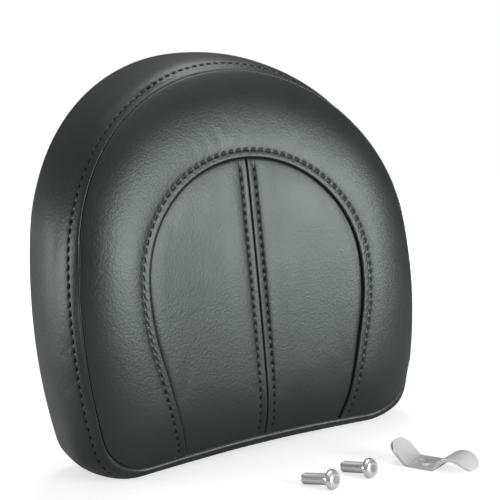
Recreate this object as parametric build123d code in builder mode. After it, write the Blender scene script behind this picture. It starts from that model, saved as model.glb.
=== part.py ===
"""Motorcycle backrest pad with the hardware that fastens it to a backrest bar.

A sewn cover of four panels is pulled over a foam core on a moulded pan, folded round the pan's
edge and stapled. A moulded cover hides the staples, and two threaded inserts in the pan take the
screws. The clip and both screws lie on the surface in front of the pad.
The origin is the centre of the flat land on the back, +Y points out of the back and +Z up.
A depth is a distance in front of that land, so it is measured along -Y.
"""

import os
from math import acos, asin, atan, atan2, cos, degrees, hypot, pi, radians, sin, sqrt

from build123d import *

os.makedirs("parts", exist_ok=True)

# Front seam, seen from the front
seam_top = 115.8
seam_bottom = -113.9
seam_half_width = 114.0
corner_radius = 28.9
crown_ratio = 0.98
crown_sweep = 81.4
lobe_angle = 3.0

# Bow and lean of the pad
wrap_radius = 390.0
seam_depth = 66.5
face_lean = 0.034

# Side wall: how far the rim stands outside the seam, and how far the wall swells between them
top_growth = 20.0
side_growth = 12.3
bottom_growth = 5.4
wall_swell = 5.4
rim_round = 3.0
foot_press = 1.4

# Crown of the front face
crown_rise = 12.2
crown_width = 45.2
dome_rise = 2.7

# Sewn cover
cover_thickness = 3.5
hem_thickness = 1.4
hem_width = 17.0
lap_step = 1.0
seam_gap = 0.3
fold_round = 1.0
lapped_round = 0.8
arch_top = 61.0
arch_radius = 73.0
arch_sweep = 86.0
shoulder_radius = 138.7
shoulder_sweep = 16.7

# Pan, land and threaded inserts
pan_thickness = 4.0
pan_lip_depth = 8.0
pan_lip_wall = 3.0
land_width = 44.0
land_height = 150.0
thread_spacing = 101.6
thread_radius = 3.2
insert_radius = 5.5
insert_flat = 17.0
insert_flange = 1.6
insert_setback = 0.8
insert_seat = 0.5
screw_room_radius = 5.0
screw_room_depth = 8.0

# Staples in the hem
staple_pitch = 24.0
staple_inset = 10.0
staple_crown = 10.0
staple_leg = 4.8
staple_wire = 0.6
staple_room = 0.8

# Back cover and its push-in clips
land_proud = 2.3
back_thickness = 2.0
back_inset = 7.0
back_lip_wall = 2.0
back_edge_round = 0.8
clip_count = 8
clip_inset = 27.0
push_head_radius = 7.0
push_head_height = 1.6
push_shank_radius = 2.9
push_fin_radius = 3.8
push_tip_radius = 2.3
push_fin_pitch = 3.2
push_fins = 2

# Screws: quarter inch button heads
shank_radius = 3.175
screw_length = 19.05
head_radius = 5.55
head_height = 3.35
socket_flats = 3.97
socket_depth = 2.1
tip_chamfer = 0.9
screw_spots = ((-16.5, -143.1, -68.8), (10.9, -141.5, -74.5))

# Bar clip: a bent strap with a saddle at each end
strap_width = 17.5
strap_thickness = 2.0
strap_edge_round = 0.4
strap_end_radius = 7.5
flat_half_length = 7.5
bend_radius = 4.0
ramp_angle = 45.0
ramp_length = 4.0
bar_radius = 9.6
saddle_sweep = 110.0
strap_hole_radius = 3.6
collar_radius = 5.6
collar_height = 0.6
bar_clip_spot = (53.0, -163.6, -70.0)

# Running clearance between parts that seat on each other
fit_gap = 0.2

rim_depth = land_proud + back_thickness + staple_room
pan_back = rim_depth + hem_thickness
pan_front = pan_back + pan_thickness
seam_middle = (seam_top + seam_bottom) / 2
seam_half_height = (seam_top - seam_bottom) / 2
bow_centre = rim_depth + wrap_radius


def sag(x):
    """How far forward the bow brings a point at x from the centre line."""
    return wrap_radius - sqrt(wrap_radius**2 - x**2)


def side_arc_radius(half_width):
    """Radius of the side arc that meets the crown arc and reaches the half width."""
    crown_sine = sin(radians(crown_sweep))
    return half_width * (1 - crown_ratio * crown_sine) / (1 - crown_sine)


def pad_outline(top, bottom, half_width, corner):
    """Closed outline of tangent arcs: crown, sides, corners and a slightly hollow base."""
    sweep = radians(crown_sweep)
    crown = crown_ratio * half_width
    side = side_arc_radius(half_width)
    drop = side * cos(sweep) + crown * (1 - cos(sweep)) + corner - (top - bottom)
    side_end = degrees(acos(drop / (side - corner)))
    with BuildLine() as outline:
        over = JernArc((0, top), (1, 0), crown, -crown_sweep)
        down = JernArc(over @ 1, over % 1, side, crown_sweep - side_end)
        turn = JernArc(down @ 1, down % 1, corner, side_end - 180 - lobe_angle)
        JernArc(turn @ 1, turn % 1, (turn @ 1).X / sin(radians(lobe_angle)), lobe_angle)
        mirror(about=Plane.YZ)
    return outline.line


def outline_face(outline):
    """Flat face inside a closed outline."""
    with BuildSketch() as flat:
        add(outline)
        make_face()
    return flat.sketch


def seam_face(inset=0.0):
    """Face inside the front seam."""
    return outline_face(
        pad_outline(
            seam_top - inset, seam_bottom + inset, seam_half_width - inset, corner_radius - inset
        )
    )


def rim_outline(inset):
    """Outline of the rim at the back, set in by inset."""
    return pad_outline(
        seam_top + top_growth - inset,
        seam_bottom - bottom_growth + inset,
        seam_half_width + side_growth - inset,
        max(corner_radius - inset, fit_gap),
    )


def arch_face(inset=0.0):
    """Face inside the arched seam of the front, open to below the pad."""
    with BuildLine() as arch:
        over = JernArc((0, arch_top - inset), (1, 0), arch_radius - inset, -arch_sweep)
        down = JernArc(over @ 1, over % 1, shoulder_radius - inset, -shoulder_sweep)
        leg = PolarLine(down @ 1, 2 * seam_half_height, direction=down % 1)
        Line(leg @ 1, (0, (leg @ 1).Y))
        mirror(about=Plane.YZ)
    return outline_face(arch.line)


def wall_reach(depth, seam_at, rim_at, growth):
    """How far the side wall stands outside the seam at a depth."""
    share = (seam_at - depth) / (seam_at - rim_at)
    if share < 0:
        return share * (growth + 3 * wall_swell)
    return growth * share + wall_swell * sin(pi * min(share, 1) ** 0.7)


def side_block(inset):
    """Solid inside the side wall, from behind the rim to in front of the crown."""
    top_seam = seam_depth - face_lean * seam_half_height
    bottom_seam = seam_depth + face_lean * seam_half_height
    side_seam = seam_depth + sag(seam_half_width)
    side_rim = rim_depth + sag(seam_half_width + side_growth)
    reach = side_seam + crown_rise
    sections = 7
    with BuildPart() as block:
        for section in range(sections):
            depth = reach * section / (sections - 1) - 1
            top = seam_top + wall_reach(depth, top_seam, rim_depth, top_growth)
            bottom = seam_bottom - wall_reach(depth, bottom_seam, rim_depth, bottom_growth)
            half_width = seam_half_width + wall_reach(depth, side_seam, side_rim, side_growth)
            with BuildSketch(Plane.XZ.offset(depth)):
                add(
                    pad_outline(
                        top - inset, bottom + inset, half_width - inset, corner_radius - inset
                    )
                )
                make_face()
        loft()
    return block.part


def seam_distance(x, z):
    """Distance inside the front seam, blended where the side and the base meet."""
    crown = crown_ratio * seam_half_width
    step = side_arc_radius(seam_half_width) - crown
    height = z - (seam_top - crown)
    sweep = radians(crown_sweep)
    if atan2(abs(x), height) < sweep:
        side = crown - hypot(x, height)
    else:
        side = crown + step - hypot(abs(x) + step * sin(sweep), height + step * cos(sweep))
    base = z - seam_bottom
    blend = corner_radius * 0.8
    return (side + base - hypot(side - base, blend)) / 2 + blend * 0.15


def face_depth(x, z):
    """Depth of the front surface: bow, lean, rolled crown and a shallow dome."""
    share = seam_distance(x, z) / crown_width
    crown = crown_rise * (3 * share if share < 0 else 1 - (1 - min(share, 1)) ** 3)
    height = z - seam_middle
    dome = dome_rise * (1 - (x / seam_half_width) ** 2 - (height / seam_half_height) ** 2)
    return seam_depth - face_lean * height + sag(x) + crown + dome


def front_solid():
    """Solid behind the front surface."""
    margin = crown_rise + top_growth
    steps = 28
    half_width = seam_half_width + margin
    half_height = seam_half_height + margin
    rows = []
    for column in range(steps + 1):
        x = half_width * (2 * column / steps - 1)
        heights = [seam_middle + half_height * (2 * row / steps - 1) for row in range(steps + 1)]
        rows.append([Vector(x, -face_depth(x, z), z) for z in heights])
    surface = Face.make_surface_from_array_of_points(rows, tol=0.05, min_deg=3, max_deg=5)
    return extrude(surface, amount=2 * seam_depth + margin, dir=(0, 1, 0))


def bowed_solid(depth):
    """Solid in front of the bowed surface that crosses the centre line at a depth."""
    with BuildPart() as solid:
        with BuildSketch(Plane.XY.offset(-2 * seam_half_height)):
            with Locations((0, -bow_centre)):
                Circle(bow_centre - depth)
        extrude(amount=4 * seam_half_height)
    return solid.part


def bowed_plane(x, z, depth, along=(1, 0)):
    """Plane on the bowed surface at a depth, with z out of the back and x along a direction."""
    radius = bow_centre - depth
    angle = asin(x / radius)
    spot = (x, radius * cos(angle) - bow_centre, z)
    tangent = (along[0] * cos(angle), -along[0] * sin(angle), along[1])
    return Plane(spot, x_dir=tangent, z_dir=(sin(angle), cos(angle), 0))


front = front_solid()


def pad_form(inset, back_depth, back_round=0):
    """Filled form of the pad inside its cover by inset, from the face to a bowed back."""
    with BuildPart() as form:
        add(side_block(inset))
        add(front.moved(Pos(0, inset, 0)), mode=Mode.INTERSECT)
        add(bowed_solid(back_depth), mode=Mode.INTERSECT)
        if back_round:
            fillet(form.faces().sort_by(Axis.Y)[-1].edges(), back_round)
    return form.part


full_form = pad_form(0, rim_depth, rim_round)
inside_form = pad_form(cover_thickness, pan_back)

# The pad stands on its two bottom corners, pressed flat at floor level
floor = full_form.bounding_box().min.Z + foot_press
outside_form = split(full_form, Plane.XY.offset(floor), keep=Keep.TOP)

# Front of the panels, cut by the seams in line with Y
cut_start = seam_depth / 2
cut_length = 2 * seam_depth

# Staples along the hem, each a crown with two legs
with BuildPart() as staple:
    with Locations((0, 0, staple_wire / 2)):
        Box(staple_crown, staple_wire, staple_wire)
    leg_shift = (staple_crown - staple_wire) / 2
    with Locations((leg_shift, 0, -staple_leg / 2), (-leg_shift, 0, -staple_leg / 2)):
        Box(staple_wire, staple_wire, staple_leg)

staple_line = outline_face(rim_outline(staple_inset)).face().outer_wire()
staple_count = int(staple_line.length / staple_pitch)
staples = []
for number in range(staple_count):
    place = (number + 0.5) / staple_count
    spot = staple_line @ place
    heading = staple_line % place
    seat = bowed_plane(spot.X, spot.Y, rim_depth, (heading.X, heading.Y))
    staples.append(staple.part.moved(seat.location))
staples = Compound(children=staples)
staples.label = "staples"



def seam_edges(panel):
    """Edges that the cut of the front seam leaves along the front surface."""
    edges = []
    for face in panel.faces().filter_by(lambda face: abs(face.normal_at().Y) < 1e-5):
        for edge in face.edges():
            spots = [edge @ share for share in (0.25, 0.5, 0.75)]
            away = max(abs(face_depth(spot.X, spot.Z) + spot.Y) for spot in spots)
            if away < cover_thickness / 4:
                edges.append(edge)
    return edges


def front_edges(panel):
    """Edges round the front face of a panel."""
    return panel.faces().sort_by(SortBy.AREA)[-2:].sort_by(Axis.Y)[0].edges()


# Side band: the wall of the cover with its hem turned over the back of the pan
with BuildPart() as side_band:
    add(outside_form)
    add(inside_form, mode=Mode.SUBTRACT)
    with BuildSketch(Plane.XZ):
        add(outline_face(rim_outline(hem_width)))
    extrude(amount=pan_back + sag(seam_half_width + side_growth), mode=Mode.SUBTRACT)
    with BuildSketch(Plane.XZ.offset(cut_start)):
        add(seam_face(-seam_gap / 2))
    extrude(amount=cut_length, mode=Mode.SUBTRACT)
    add(staples, mode=Mode.SUBTRACT)
    fillet(seam_edges(side_band.part), lapped_round)
side_band.part.label = "side_band"

# Outer front panel: the rim of the face round the arched seam
with BuildPart() as outer_panel:
    add(outside_form)
    add(inside_form, mode=Mode.SUBTRACT)
    with BuildSketch(Plane.XZ.offset(cut_start)):
        add(seam_face(seam_gap / 2))
        add(arch_face(-seam_gap / 2), mode=Mode.SUBTRACT)
    extrude(amount=cut_length, mode=Mode.INTERSECT)
    fillet(front_edges(outer_panel.part), fold_round)
outer_panel.part.label = "outer_panel"


def inner_panel(side, name):
    """Half of the face inside the arched seam, lapped by the outer panel's folded edge."""
    with BuildPart() as panel:
        add(outside_form)
        add(front.moved(Pos(0, lap_step, 0)), mode=Mode.INTERSECT)
        add(inside_form, mode=Mode.SUBTRACT)
        with BuildSketch(Plane.XZ.offset(cut_start)):
            add(seam_face(seam_gap / 2))
            add(arch_face(seam_gap / 2), mode=Mode.INTERSECT)
            with Locations((side * (seam_half_width + seam_gap / 2), 0)):
                Rectangle(2 * seam_half_width, 4 * seam_half_height, mode=Mode.INTERSECT)
        extrude(amount=cut_length, mode=Mode.INTERSECT)
        tall = front_edges(panel.part).filter_by(lambda edge: edge.bounding_box().size.Z > hem_width)
        fillet(tall, lapped_round)
    panel.part.label = name
    return panel.part


inner_left_panel = inner_panel(-1, "inner_left_panel")
inner_right_panel = inner_panel(1, "inner_right_panel")


def bowed_core(near, inset=0.0):
    """Inside of the cover in front of the bowed surface at a depth."""
    with BuildPart() as core:
        add(side_block(cover_thickness + fit_gap + inset))
        add(bowed_solid(near), mode=Mode.INTERSECT)
    return core.part


# Pan: a bowed plate with a lip round the foam and a flat land for the bracket
thread_spots = ((0, thread_spacing / 2), (0, -thread_spacing / 2))
with BuildPart() as base_pan:
    add(bowed_core(pan_back))
    add(bowed_solid(pan_front + pan_lip_depth), mode=Mode.SUBTRACT)
    add(bowed_core(pan_front, pan_lip_wall), mode=Mode.SUBTRACT)
    with BuildSketch(Plane.XZ):
        SlotOverall(land_height, land_width, rotation=90)
    extrude(amount=pan_front)
    with BuildSketch(Plane.XZ):
        with Locations(*thread_spots):
            Circle(insert_radius)
    extrude(amount=2 * pan_front, mode=Mode.SUBTRACT)
    with BuildSketch(Plane.XZ.offset(pan_front - insert_seat)):
        with Locations(*thread_spots):
            RegularPolygon(insert_flat / 2 + fit_gap, 6, major_radius=False)
    extrude(amount=pan_front, mode=Mode.SUBTRACT)


def threaded_insert(height, name):
    """Flanged insert, seated in the pan from the foam side, with a plain bore for its thread."""
    with BuildPart() as insert:
        with BuildSketch(Plane.XZ.offset(pan_front - insert_seat)):
            with Locations((0, height)):
                RegularPolygon(insert_flat / 2, 6, major_radius=False)
        extrude(amount=insert_flange)
        with BuildSketch(Plane.XZ.offset(insert_setback)):
            with Locations((0, height)):
                Circle(insert_radius)
        extrude(amount=pan_front - insert_seat - insert_setback)
        with BuildSketch(Plane.XZ):
            with Locations((0, height)):
                Circle(thread_radius)
        extrude(amount=2 * pan_front, mode=Mode.SUBTRACT)
    insert.part.label = name
    return insert.part


upper_insert = threaded_insert(thread_spacing / 2, "upper_insert")
lower_insert = threaded_insert(-thread_spacing / 2, "lower_insert")

# Push-in clip of the back cover: a domed head over a shank with barbs, pointing along -Z
push_reach = pan_front + push_fins * push_fin_pitch - land_proud
with BuildPart() as push_clip:
    with BuildSketch(Plane.XZ):
        with BuildLine():
            Polyline(
                (0, push_head_height),
                (push_head_radius - push_head_height, push_head_height),
                (push_head_radius, push_head_height / 2),
                (push_head_radius, 0),
                (push_shank_radius, 0),
                (push_shank_radius, -push_reach),
                (0, -push_reach),
                close=True,
            )
        make_face()
        with BuildLine():
            for fin in range(push_fins):
                top = -push_reach + (fin + 1) * push_fin_pitch
                Polyline(
                    (0, top),
                    (push_fin_radius, top),
                    (push_tip_radius, top - push_fin_pitch),
                    (0, top - push_fin_pitch),
                    close=True,
                )
        make_face()
    revolve(axis=Axis.Z)

clip_line = outline_face(rim_outline(clip_inset)).face().outer_wire()
clip_seats = []
for number in range(clip_count):
    spot = clip_line @ ((number + 0.5) / clip_count)
    clip_seats.append(bowed_plane(spot.X, spot.Y, land_proud))
cover_clips = Compound(children=[push_clip.part.moved(seat.location) for seat in clip_seats])
cover_clips.label = "cover_clips"

# Holes that the clips pass through, and the room for their barbs in the foam
clip_hole = Cylinder(push_shank_radius + fit_gap / 2, 4 * pan_front)
clip_holes = [seat.location * clip_hole for seat in clip_seats]
barb_room = Cylinder(
    push_fin_radius + fit_gap, push_reach + 1, align=(Align.CENTER, Align.CENTER, Align.MAX)
)
barb_rooms = [seat.location * barb_room for seat in clip_seats]

with BuildPart() as finished_pan:
    add(base_pan.part)
    add(clip_holes, mode=Mode.SUBTRACT)
    add(staples, mode=Mode.SUBTRACT)
finished_pan.part.label = "base_pan"

# Back cover: a thin bowed shell with a turned-in edge and a window for the land
with BuildPart() as back_hollow:
    with BuildSketch(Plane.XZ):
        add(outline_face(rim_outline(back_inset + back_lip_wall)))
    extrude(amount=seam_depth)
    add(bowed_solid(land_proud + back_thickness), mode=Mode.INTERSECT)

with BuildPart() as back_cover:
    with BuildSketch(Plane.XZ):
        add(outline_face(rim_outline(back_inset)))
    extrude(amount=seam_depth)
    add(bowed_solid(land_proud), mode=Mode.INTERSECT)
    fillet(back_cover.edges().group_by(Axis.Y)[-1], back_edge_round)
    add(bowed_solid(rim_depth - fit_gap), mode=Mode.SUBTRACT)
    add(back_hollow.part, mode=Mode.SUBTRACT)
    with BuildSketch(Plane.XZ):
        SlotOverall(land_height + 2 * fit_gap, land_width + 2 * fit_gap, rotation=90)
    extrude(amount=seam_depth, mode=Mode.SUBTRACT)
    add(clip_holes, mode=Mode.SUBTRACT)
back_cover.part.label = "back_cover"

# Foam core: fills the cover in front of the pan, with room for what stands through the pan
with BuildPart() as lip_room:
    add(bowed_core(pan_back))
    add(bowed_solid(pan_front + pan_lip_depth + fit_gap), mode=Mode.SUBTRACT)
    add(bowed_core(pan_back, pan_lip_wall + fit_gap), mode=Mode.SUBTRACT)

with BuildPart() as foam_core:
    add(pad_form(cover_thickness + fit_gap, pan_front + fit_gap))
    add(lip_room.part, mode=Mode.SUBTRACT)
    with BuildSketch(Plane.XZ):
        with Locations(*thread_spots):
            RegularPolygon(insert_flat / 2 + fit_gap, 6, major_radius=False)
    extrude(amount=pan_front + insert_flange, mode=Mode.SUBTRACT)
    with BuildSketch(Plane.XZ):
        with Locations(*thread_spots):
            Circle(screw_room_radius)
    extrude(amount=pan_front + insert_flange + screw_room_depth, mode=Mode.SUBTRACT)
    add(barb_rooms, mode=Mode.SUBTRACT)
foam_core.part.label = "foam_core"

# Button head screw, lying along +X from the face of its head
with BuildPart() as screw:
    with BuildSketch(Plane.XZ):
        with BuildLine():
            Polyline(
                (0, 0),
                (screw_length, 0),
                (screw_length, shank_radius - tip_chamfer),
                (screw_length - tip_chamfer, shank_radius),
                (0, shank_radius),
                (0, head_radius),
            )
            ThreePointArc(
                (0, head_radius),
                (-head_height * 0.72, head_radius * 0.72),
                (-head_height, socket_flats * 0.75),
            )
            Polyline((-head_height, socket_flats * 0.75), (-head_height, 0), (0, 0))
        make_face()
    revolve(axis=Axis.X)
    with BuildSketch(Plane.YZ.offset(-head_height)):
        RegularPolygon(socket_flats / 2, 6, major_radius=False)
    extrude(amount=socket_depth, mode=Mode.SUBTRACT)

screw_tilt = degrees(atan((head_radius - shank_radius) / (screw_length - tip_chamfer)))
screws = []
for tip_x, tip_y, heading in screw_spots:
    heel = screw_length * cos(radians(screw_tilt))
    rest = Plane(
        (
            tip_x + heel * cos(radians(heading)),
            tip_y + heel * sin(radians(heading)),
            floor + head_radius * cos(radians(screw_tilt)),
        )
    )
    turn = Rotation(0, screw_tilt, heading + 180)
    screws.append(screw.part.moved(rest.location * turn))
mounting_screws = Compound(children=screws)
mounting_screws.label = "mounting_screws"

# Bar clip: half of the strap's underside drawn flat, ramp and saddle, then mirrored
with BuildPart() as bar_clip:
    with BuildSketch(Plane.XZ):
        with BuildLine() as strap:
            flat = Line((0, 0), (flat_half_length, 0))
            bend = JernArc(flat @ 1, flat % 1, bend_radius, ramp_angle)
            ramp = PolarLine(bend @ 1, ramp_length, direction=bend % 1)
            saddle = JernArc(ramp @ 1, ramp % 1, bar_radius, -saddle_sweep)
            offset(amount=strap_thickness, side=Side.LEFT)
        make_face()
        mirror(about=Plane.YZ)
    extrude(amount=strap_width / 2, both=True)
    half_length = (saddle @ 1).X + strap_thickness
    with BuildSketch():
        RectangleRounded(2 * half_length, strap_width, strap_end_radius)
    extrude(amount=4 * bar_radius, both=True, mode=Mode.INTERSECT)
    with BuildSketch(Plane.XY.offset(strap_thickness)):
        Circle(collar_radius)
    extrude(amount=collar_height, taper=30)
    Hole(strap_hole_radius)
    sides = bar_clip.faces().filter_by(Axis.Y)
    fillet(sides.edges(), strap_edge_round)
clip_x, clip_y, clip_heading = bar_clip_spot
resting_clip = bar_clip.part.moved(Pos(clip_x, clip_y, floor) * Rotation(0, 0, clip_heading))
resting_clip.label = "bar_clip"

pieces = (
    side_band.part,
    outer_panel.part,
    inner_left_panel,
    inner_right_panel,
    foam_core.part,
    finished_pan.part,
    upper_insert,
    lower_insert,
    staples,
    back_cover.part,
    cover_clips,
    mounting_screws,
    resting_clip,
)
for piece in pieces:
    export_step(piece, f"parts/{piece.label}.step")
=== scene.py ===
"""Dressed model of a padded motorcycle backrest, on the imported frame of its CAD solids.

The cover is sewn from four panels: a side band, an outer front panel and two inner panels. Each is
a grid of points on the form that the solids have, slackened by a cloth simulation, with the folds,
stitches and creases of its seams added. Lengths in the classes are in millimetres.
"""

from __future__ import annotations

import logging
import math
from dataclasses import dataclass, field
from enum import Enum
from typing import Any, Callable, Sequence

import bpy
import numpy as np
from mathutils import Matrix, Vector

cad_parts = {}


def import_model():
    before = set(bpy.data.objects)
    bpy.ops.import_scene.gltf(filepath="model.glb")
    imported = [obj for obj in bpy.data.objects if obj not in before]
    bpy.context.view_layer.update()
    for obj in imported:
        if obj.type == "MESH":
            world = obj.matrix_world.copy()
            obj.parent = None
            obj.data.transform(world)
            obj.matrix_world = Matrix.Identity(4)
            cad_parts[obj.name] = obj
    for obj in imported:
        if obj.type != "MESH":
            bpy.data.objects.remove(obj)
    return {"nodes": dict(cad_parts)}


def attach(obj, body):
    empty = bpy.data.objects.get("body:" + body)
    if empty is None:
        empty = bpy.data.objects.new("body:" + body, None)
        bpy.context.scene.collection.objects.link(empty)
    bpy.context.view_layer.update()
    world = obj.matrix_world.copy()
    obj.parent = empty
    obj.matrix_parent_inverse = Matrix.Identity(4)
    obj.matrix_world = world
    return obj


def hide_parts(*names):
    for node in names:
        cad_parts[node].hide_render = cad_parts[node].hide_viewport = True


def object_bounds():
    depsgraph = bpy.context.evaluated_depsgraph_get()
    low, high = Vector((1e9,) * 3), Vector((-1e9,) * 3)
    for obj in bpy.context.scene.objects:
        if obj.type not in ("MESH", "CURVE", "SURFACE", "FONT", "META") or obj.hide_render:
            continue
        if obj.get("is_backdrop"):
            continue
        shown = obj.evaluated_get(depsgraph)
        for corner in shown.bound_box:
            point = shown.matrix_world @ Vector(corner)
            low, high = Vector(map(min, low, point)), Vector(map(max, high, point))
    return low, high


LOG = logging.getLogger("backrest_pad")
MM = 0.001
BODY = "root"
SHARP_ANGLE = math.radians(38)

# Points on a sampled arch or base line, on the whole front seam, and on a line that is searched.
LINE_POINTS = 601
SEAM_POINTS = 1401
SEARCH_POINTS = 4001
# Most points that are held against a line at once.
BATCH = 4000

Array = np.ndarray


# Node helpers


def add_node(
    tree: Any,
    kind: str,
    settings: dict[str, Any] | None = None,
    values: dict[Any, Any] | None = None,
) -> Any:
    """Adds one node to a tree.

    Args:
        tree: The tree.
        kind: The node's type.
        settings: Attributes to set first. The key "stops" holds a ramp's stops.
        values: Socket name or number to a value or a link.

    Returns:
        The node.
    """
    node = tree.nodes.new(kind)
    for key, value in (settings or {}).items():
        if key == "stops":
            set_stops(node.color_ramp, value)
        else:
            setattr(node, key, value)
    for key, value in (values or {}).items():
        link = getattr(value, "link", value)
        if isinstance(link, bpy.types.NodeSocket):
            tree.links.new(link, node.inputs[key])
        else:
            node.inputs[key].default_value = link
    return node


def set_stops(ramp: Any, stops: Sequence[tuple[float, float]]) -> None:
    """Sets a ramp's grey stops, each a place and a level."""
    while len(ramp.elements) < len(stops):
        ramp.elements.new(0.5)
    for element, (place, level) in zip(ramp.elements, stops):
        element.position = place
        element.color = (level, level, level, 1.0)


class Socket:
    """An output socket of a shader tree, with the arithmetic that the finishes use."""

    def __init__(self, sheet: "NodeSheet", link: Any) -> None:
        """Wraps a socket.

        Args:
            sheet: The node sheet that new Math nodes go into.
            link: The output socket.
        """
        self.sheet = sheet
        self.link = link

    def _math(self, operation: str, *values: Any) -> "Socket":
        """Adds a Math node for an operation on values."""
        node = self.sheet.node("ShaderNodeMath", {"operation": operation}, dict(enumerate(values)))
        return Socket(self.sheet, node.outputs[0])

    def __add__(self, other: Any) -> "Socket":
        """Sum."""
        return self._math("ADD", self, other)

    def __radd__(self, other: Any) -> "Socket":
        """Sum with the number on the left."""
        return self._math("ADD", other, self)

    def __sub__(self, other: Any) -> "Socket":
        """Difference."""
        return self._math("SUBTRACT", self, other)

    def __rsub__(self, other: Any) -> "Socket":
        """Difference with the number on the left."""
        return self._math("SUBTRACT", other, self)

    def __mul__(self, other: Any) -> "Socket":
        """Product."""
        return self._math("MULTIPLY", self, other)

    def __rmul__(self, other: Any) -> "Socket":
        """Product with the number on the left."""
        return self._math("MULTIPLY", other, self)

    def clamp(self) -> "Socket":
        """The value kept between 0 and 1."""
        return self._math("MINIMUM", self._math("MAXIMUM", self, 0.0), 1.0)


class NodeSheet:
    """Builds the node tree of one material or world."""

    def __init__(self, owner: bpy.types.Material | bpy.types.World) -> None:
        """Empties the owner's tree and adds its output.

        Args:
            owner: The material or world.
        """
        self.owner = owner
        owner.use_nodes = True
        self.tree = owner.node_tree
        self.tree.nodes.clear()
        world = isinstance(owner, bpy.types.World)
        self.out = self.node("ShaderNodeOutputWorld" if world else "ShaderNodeOutputMaterial")

    @classmethod
    def named(cls, name: str) -> "NodeSheet":
        """A sheet for a new material of that name."""
        return cls(bpy.data.materials.new(name))

    def node(self, kind: str, settings: Any = None, values: Any = None) -> Any:
        """Adds one node, as add_node does."""
        return add_node(self.tree, kind, settings, values)

    def place(self) -> Socket:
        """Object coordinates."""
        return Socket(self, self.node("ShaderNodeTexCoord").outputs["Object"])

    def noise(self, per_metre: float, detail: float = 2.0, rough: float = 0.5) -> Socket:
        """Noise from 0 to 1 with a number of swells per metre."""
        node = self.node(
            "ShaderNodeTexNoise",
            None,
            {"Vector": self.place(), "Scale": per_metre, "Detail": detail, "Roughness": rough},
        )
        return Socket(self, node.outputs[0])

    def cells(self, per_metre: float, feature: str = "SMOOTH_F1") -> Socket:
        """Distance inside Voronoi cells with a number of cells per metre."""
        node = self.node(
            "ShaderNodeTexVoronoi",
            {"feature": feature},
            {"Vector": self.place(), "Scale": per_metre},
        )
        return Socket(self, node.outputs["Distance"])

    def ease(self, value: Socket, low: float, high: float) -> Socket:
        """A smooth step from 0 at low to 1 at high."""
        node = self.node(
            "ShaderNodeMapRange",
            {"interpolation_type": "SMOOTHSTEP"},
            {"Value": value, "From Min": low, "From Max": high},
        )
        return Socket(self, node.outputs[0])

    def ramp(self, value: Socket, *stops: tuple[float, float]) -> Socket:
        """A value passed through grey stops."""
        node = self.node("ShaderNodeValToRGB", {"stops": stops}, {"Fac": value})
        return Socket(self, node.outputs[0])

    def tint(self, mask: Socket, low: Sequence[float], high: Sequence[float]) -> Socket:
        """Mixes two colours by a mask."""
        node = self.node(
            "ShaderNodeMix",
            {"data_type": "RGBA"},
            {0: mask, 6: (*low, 1.0), 7: (*high, 1.0)},
        )
        return Socket(self, node.outputs[2])

    def bump(self, height: Socket, distance: float) -> Socket:
        """A normal from a height, where a height of 1 stands for a distance in metres."""
        values = {"Height": height, "Distance": distance, "Strength": 1.0}
        return Socket(self, self.node("ShaderNodeBump", None, values).outputs[0])

    def finish(self, **values: Any) -> bpy.types.Material:
        """Closes the tree with a Principled shader.

        Args:
            values: Socket names, with underscores for spaces, to values or links.

        Returns:
            The material.
        """
        named = {key.replace("_", " "): value for key, value in values.items()}
        shader = self.node("ShaderNodeBsdfPrincipled", None, named)
        self.surface(shader.outputs[0])
        return self.owner

    def surface(self, shader: Any) -> None:
        """Joins a shader to the output."""
        self.tree.links.new(shader, self.out.inputs["Surface"])


# Finishes


@dataclass(frozen=True)
class VinylFinish:
    """Black upholstery vinyl with a fine pebbled grain and a soft sheen."""

    name: str = "black_vinyl"
    dark: tuple[float, float, float] = (0.0125, 0.0155, 0.0148)
    light: tuple[float, float, float] = (0.0195, 0.0240, 0.0230)
    gleam: tuple[float, float, float, float] = (0.90, 1.0, 0.97, 1.0)
    roughness: float = 0.4
    grain_per_metre: float = 800.0
    fine_per_metre: float = 2600.0
    wear_per_metre: float = 38.0
    creases_per_metre: float = 70.0
    crease_width: float = 0.07
    crease_share: float = 0.25
    grain_height: float = 0.7
    fine_height: float = 0.35
    wear_height: float = 0.5
    worn_haze: float = 0.10
    fine_haze: float = 0.06
    grain_depth: float = 0.00011

    def build(self) -> bpy.types.Material:
        """Makes the material."""
        sheet = NodeSheet.named(self.name)
        grain = sheet.cells(self.grain_per_metre)
        fine = sheet.noise(self.fine_per_metre, 3.0, 0.6)
        worn = sheet.noise(self.wear_per_metre, 4.0, 0.55)
        cracks = sheet.cells(self.creases_per_metre, "DISTANCE_TO_EDGE")
        creases = sheet.ramp(cracks, (0.0, 0.0), (self.crease_width, 1.0))
        faint = creases * self.crease_share + worn * (1 - self.crease_share)
        height = grain * self.grain_height + fine * self.fine_height + faint * self.wear_height
        haze = (worn - 0.5) * self.worn_haze + (fine - 0.5) * self.fine_haze
        rough = self.roughness + haze
        return sheet.finish(
            Base_Color=sheet.tint(worn, self.dark, self.light),
            Roughness=rough.clamp(),
            Specular_IOR_Level=0.5,
            Specular_Tint=self.gleam,
            Normal=sheet.bump(height, self.grain_depth),
        )


@dataclass(frozen=True)
class ThreadFinish:
    """Twisted black polyester thread."""

    name: str = "black_thread"
    dark: tuple[float, float, float] = (0.003, 0.003, 0.003)
    light: tuple[float, float, float] = (0.009, 0.009, 0.009)
    roughness: float = 0.85
    sheen: float = 0.08
    fibres_per_metre: float = 3200.0
    fibre_depth: float = 0.00008

    def build(self) -> bpy.types.Material:
        """Makes the material."""
        sheet = NodeSheet.named(self.name)
        fibres = sheet.noise(self.fibres_per_metre)
        return sheet.finish(
            Base_Color=sheet.tint(fibres, self.dark, self.light),
            Roughness=self.roughness,
            Specular_IOR_Level=self.sheen,
            Normal=sheet.bump(fibres, self.fibre_depth),
        )


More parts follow.
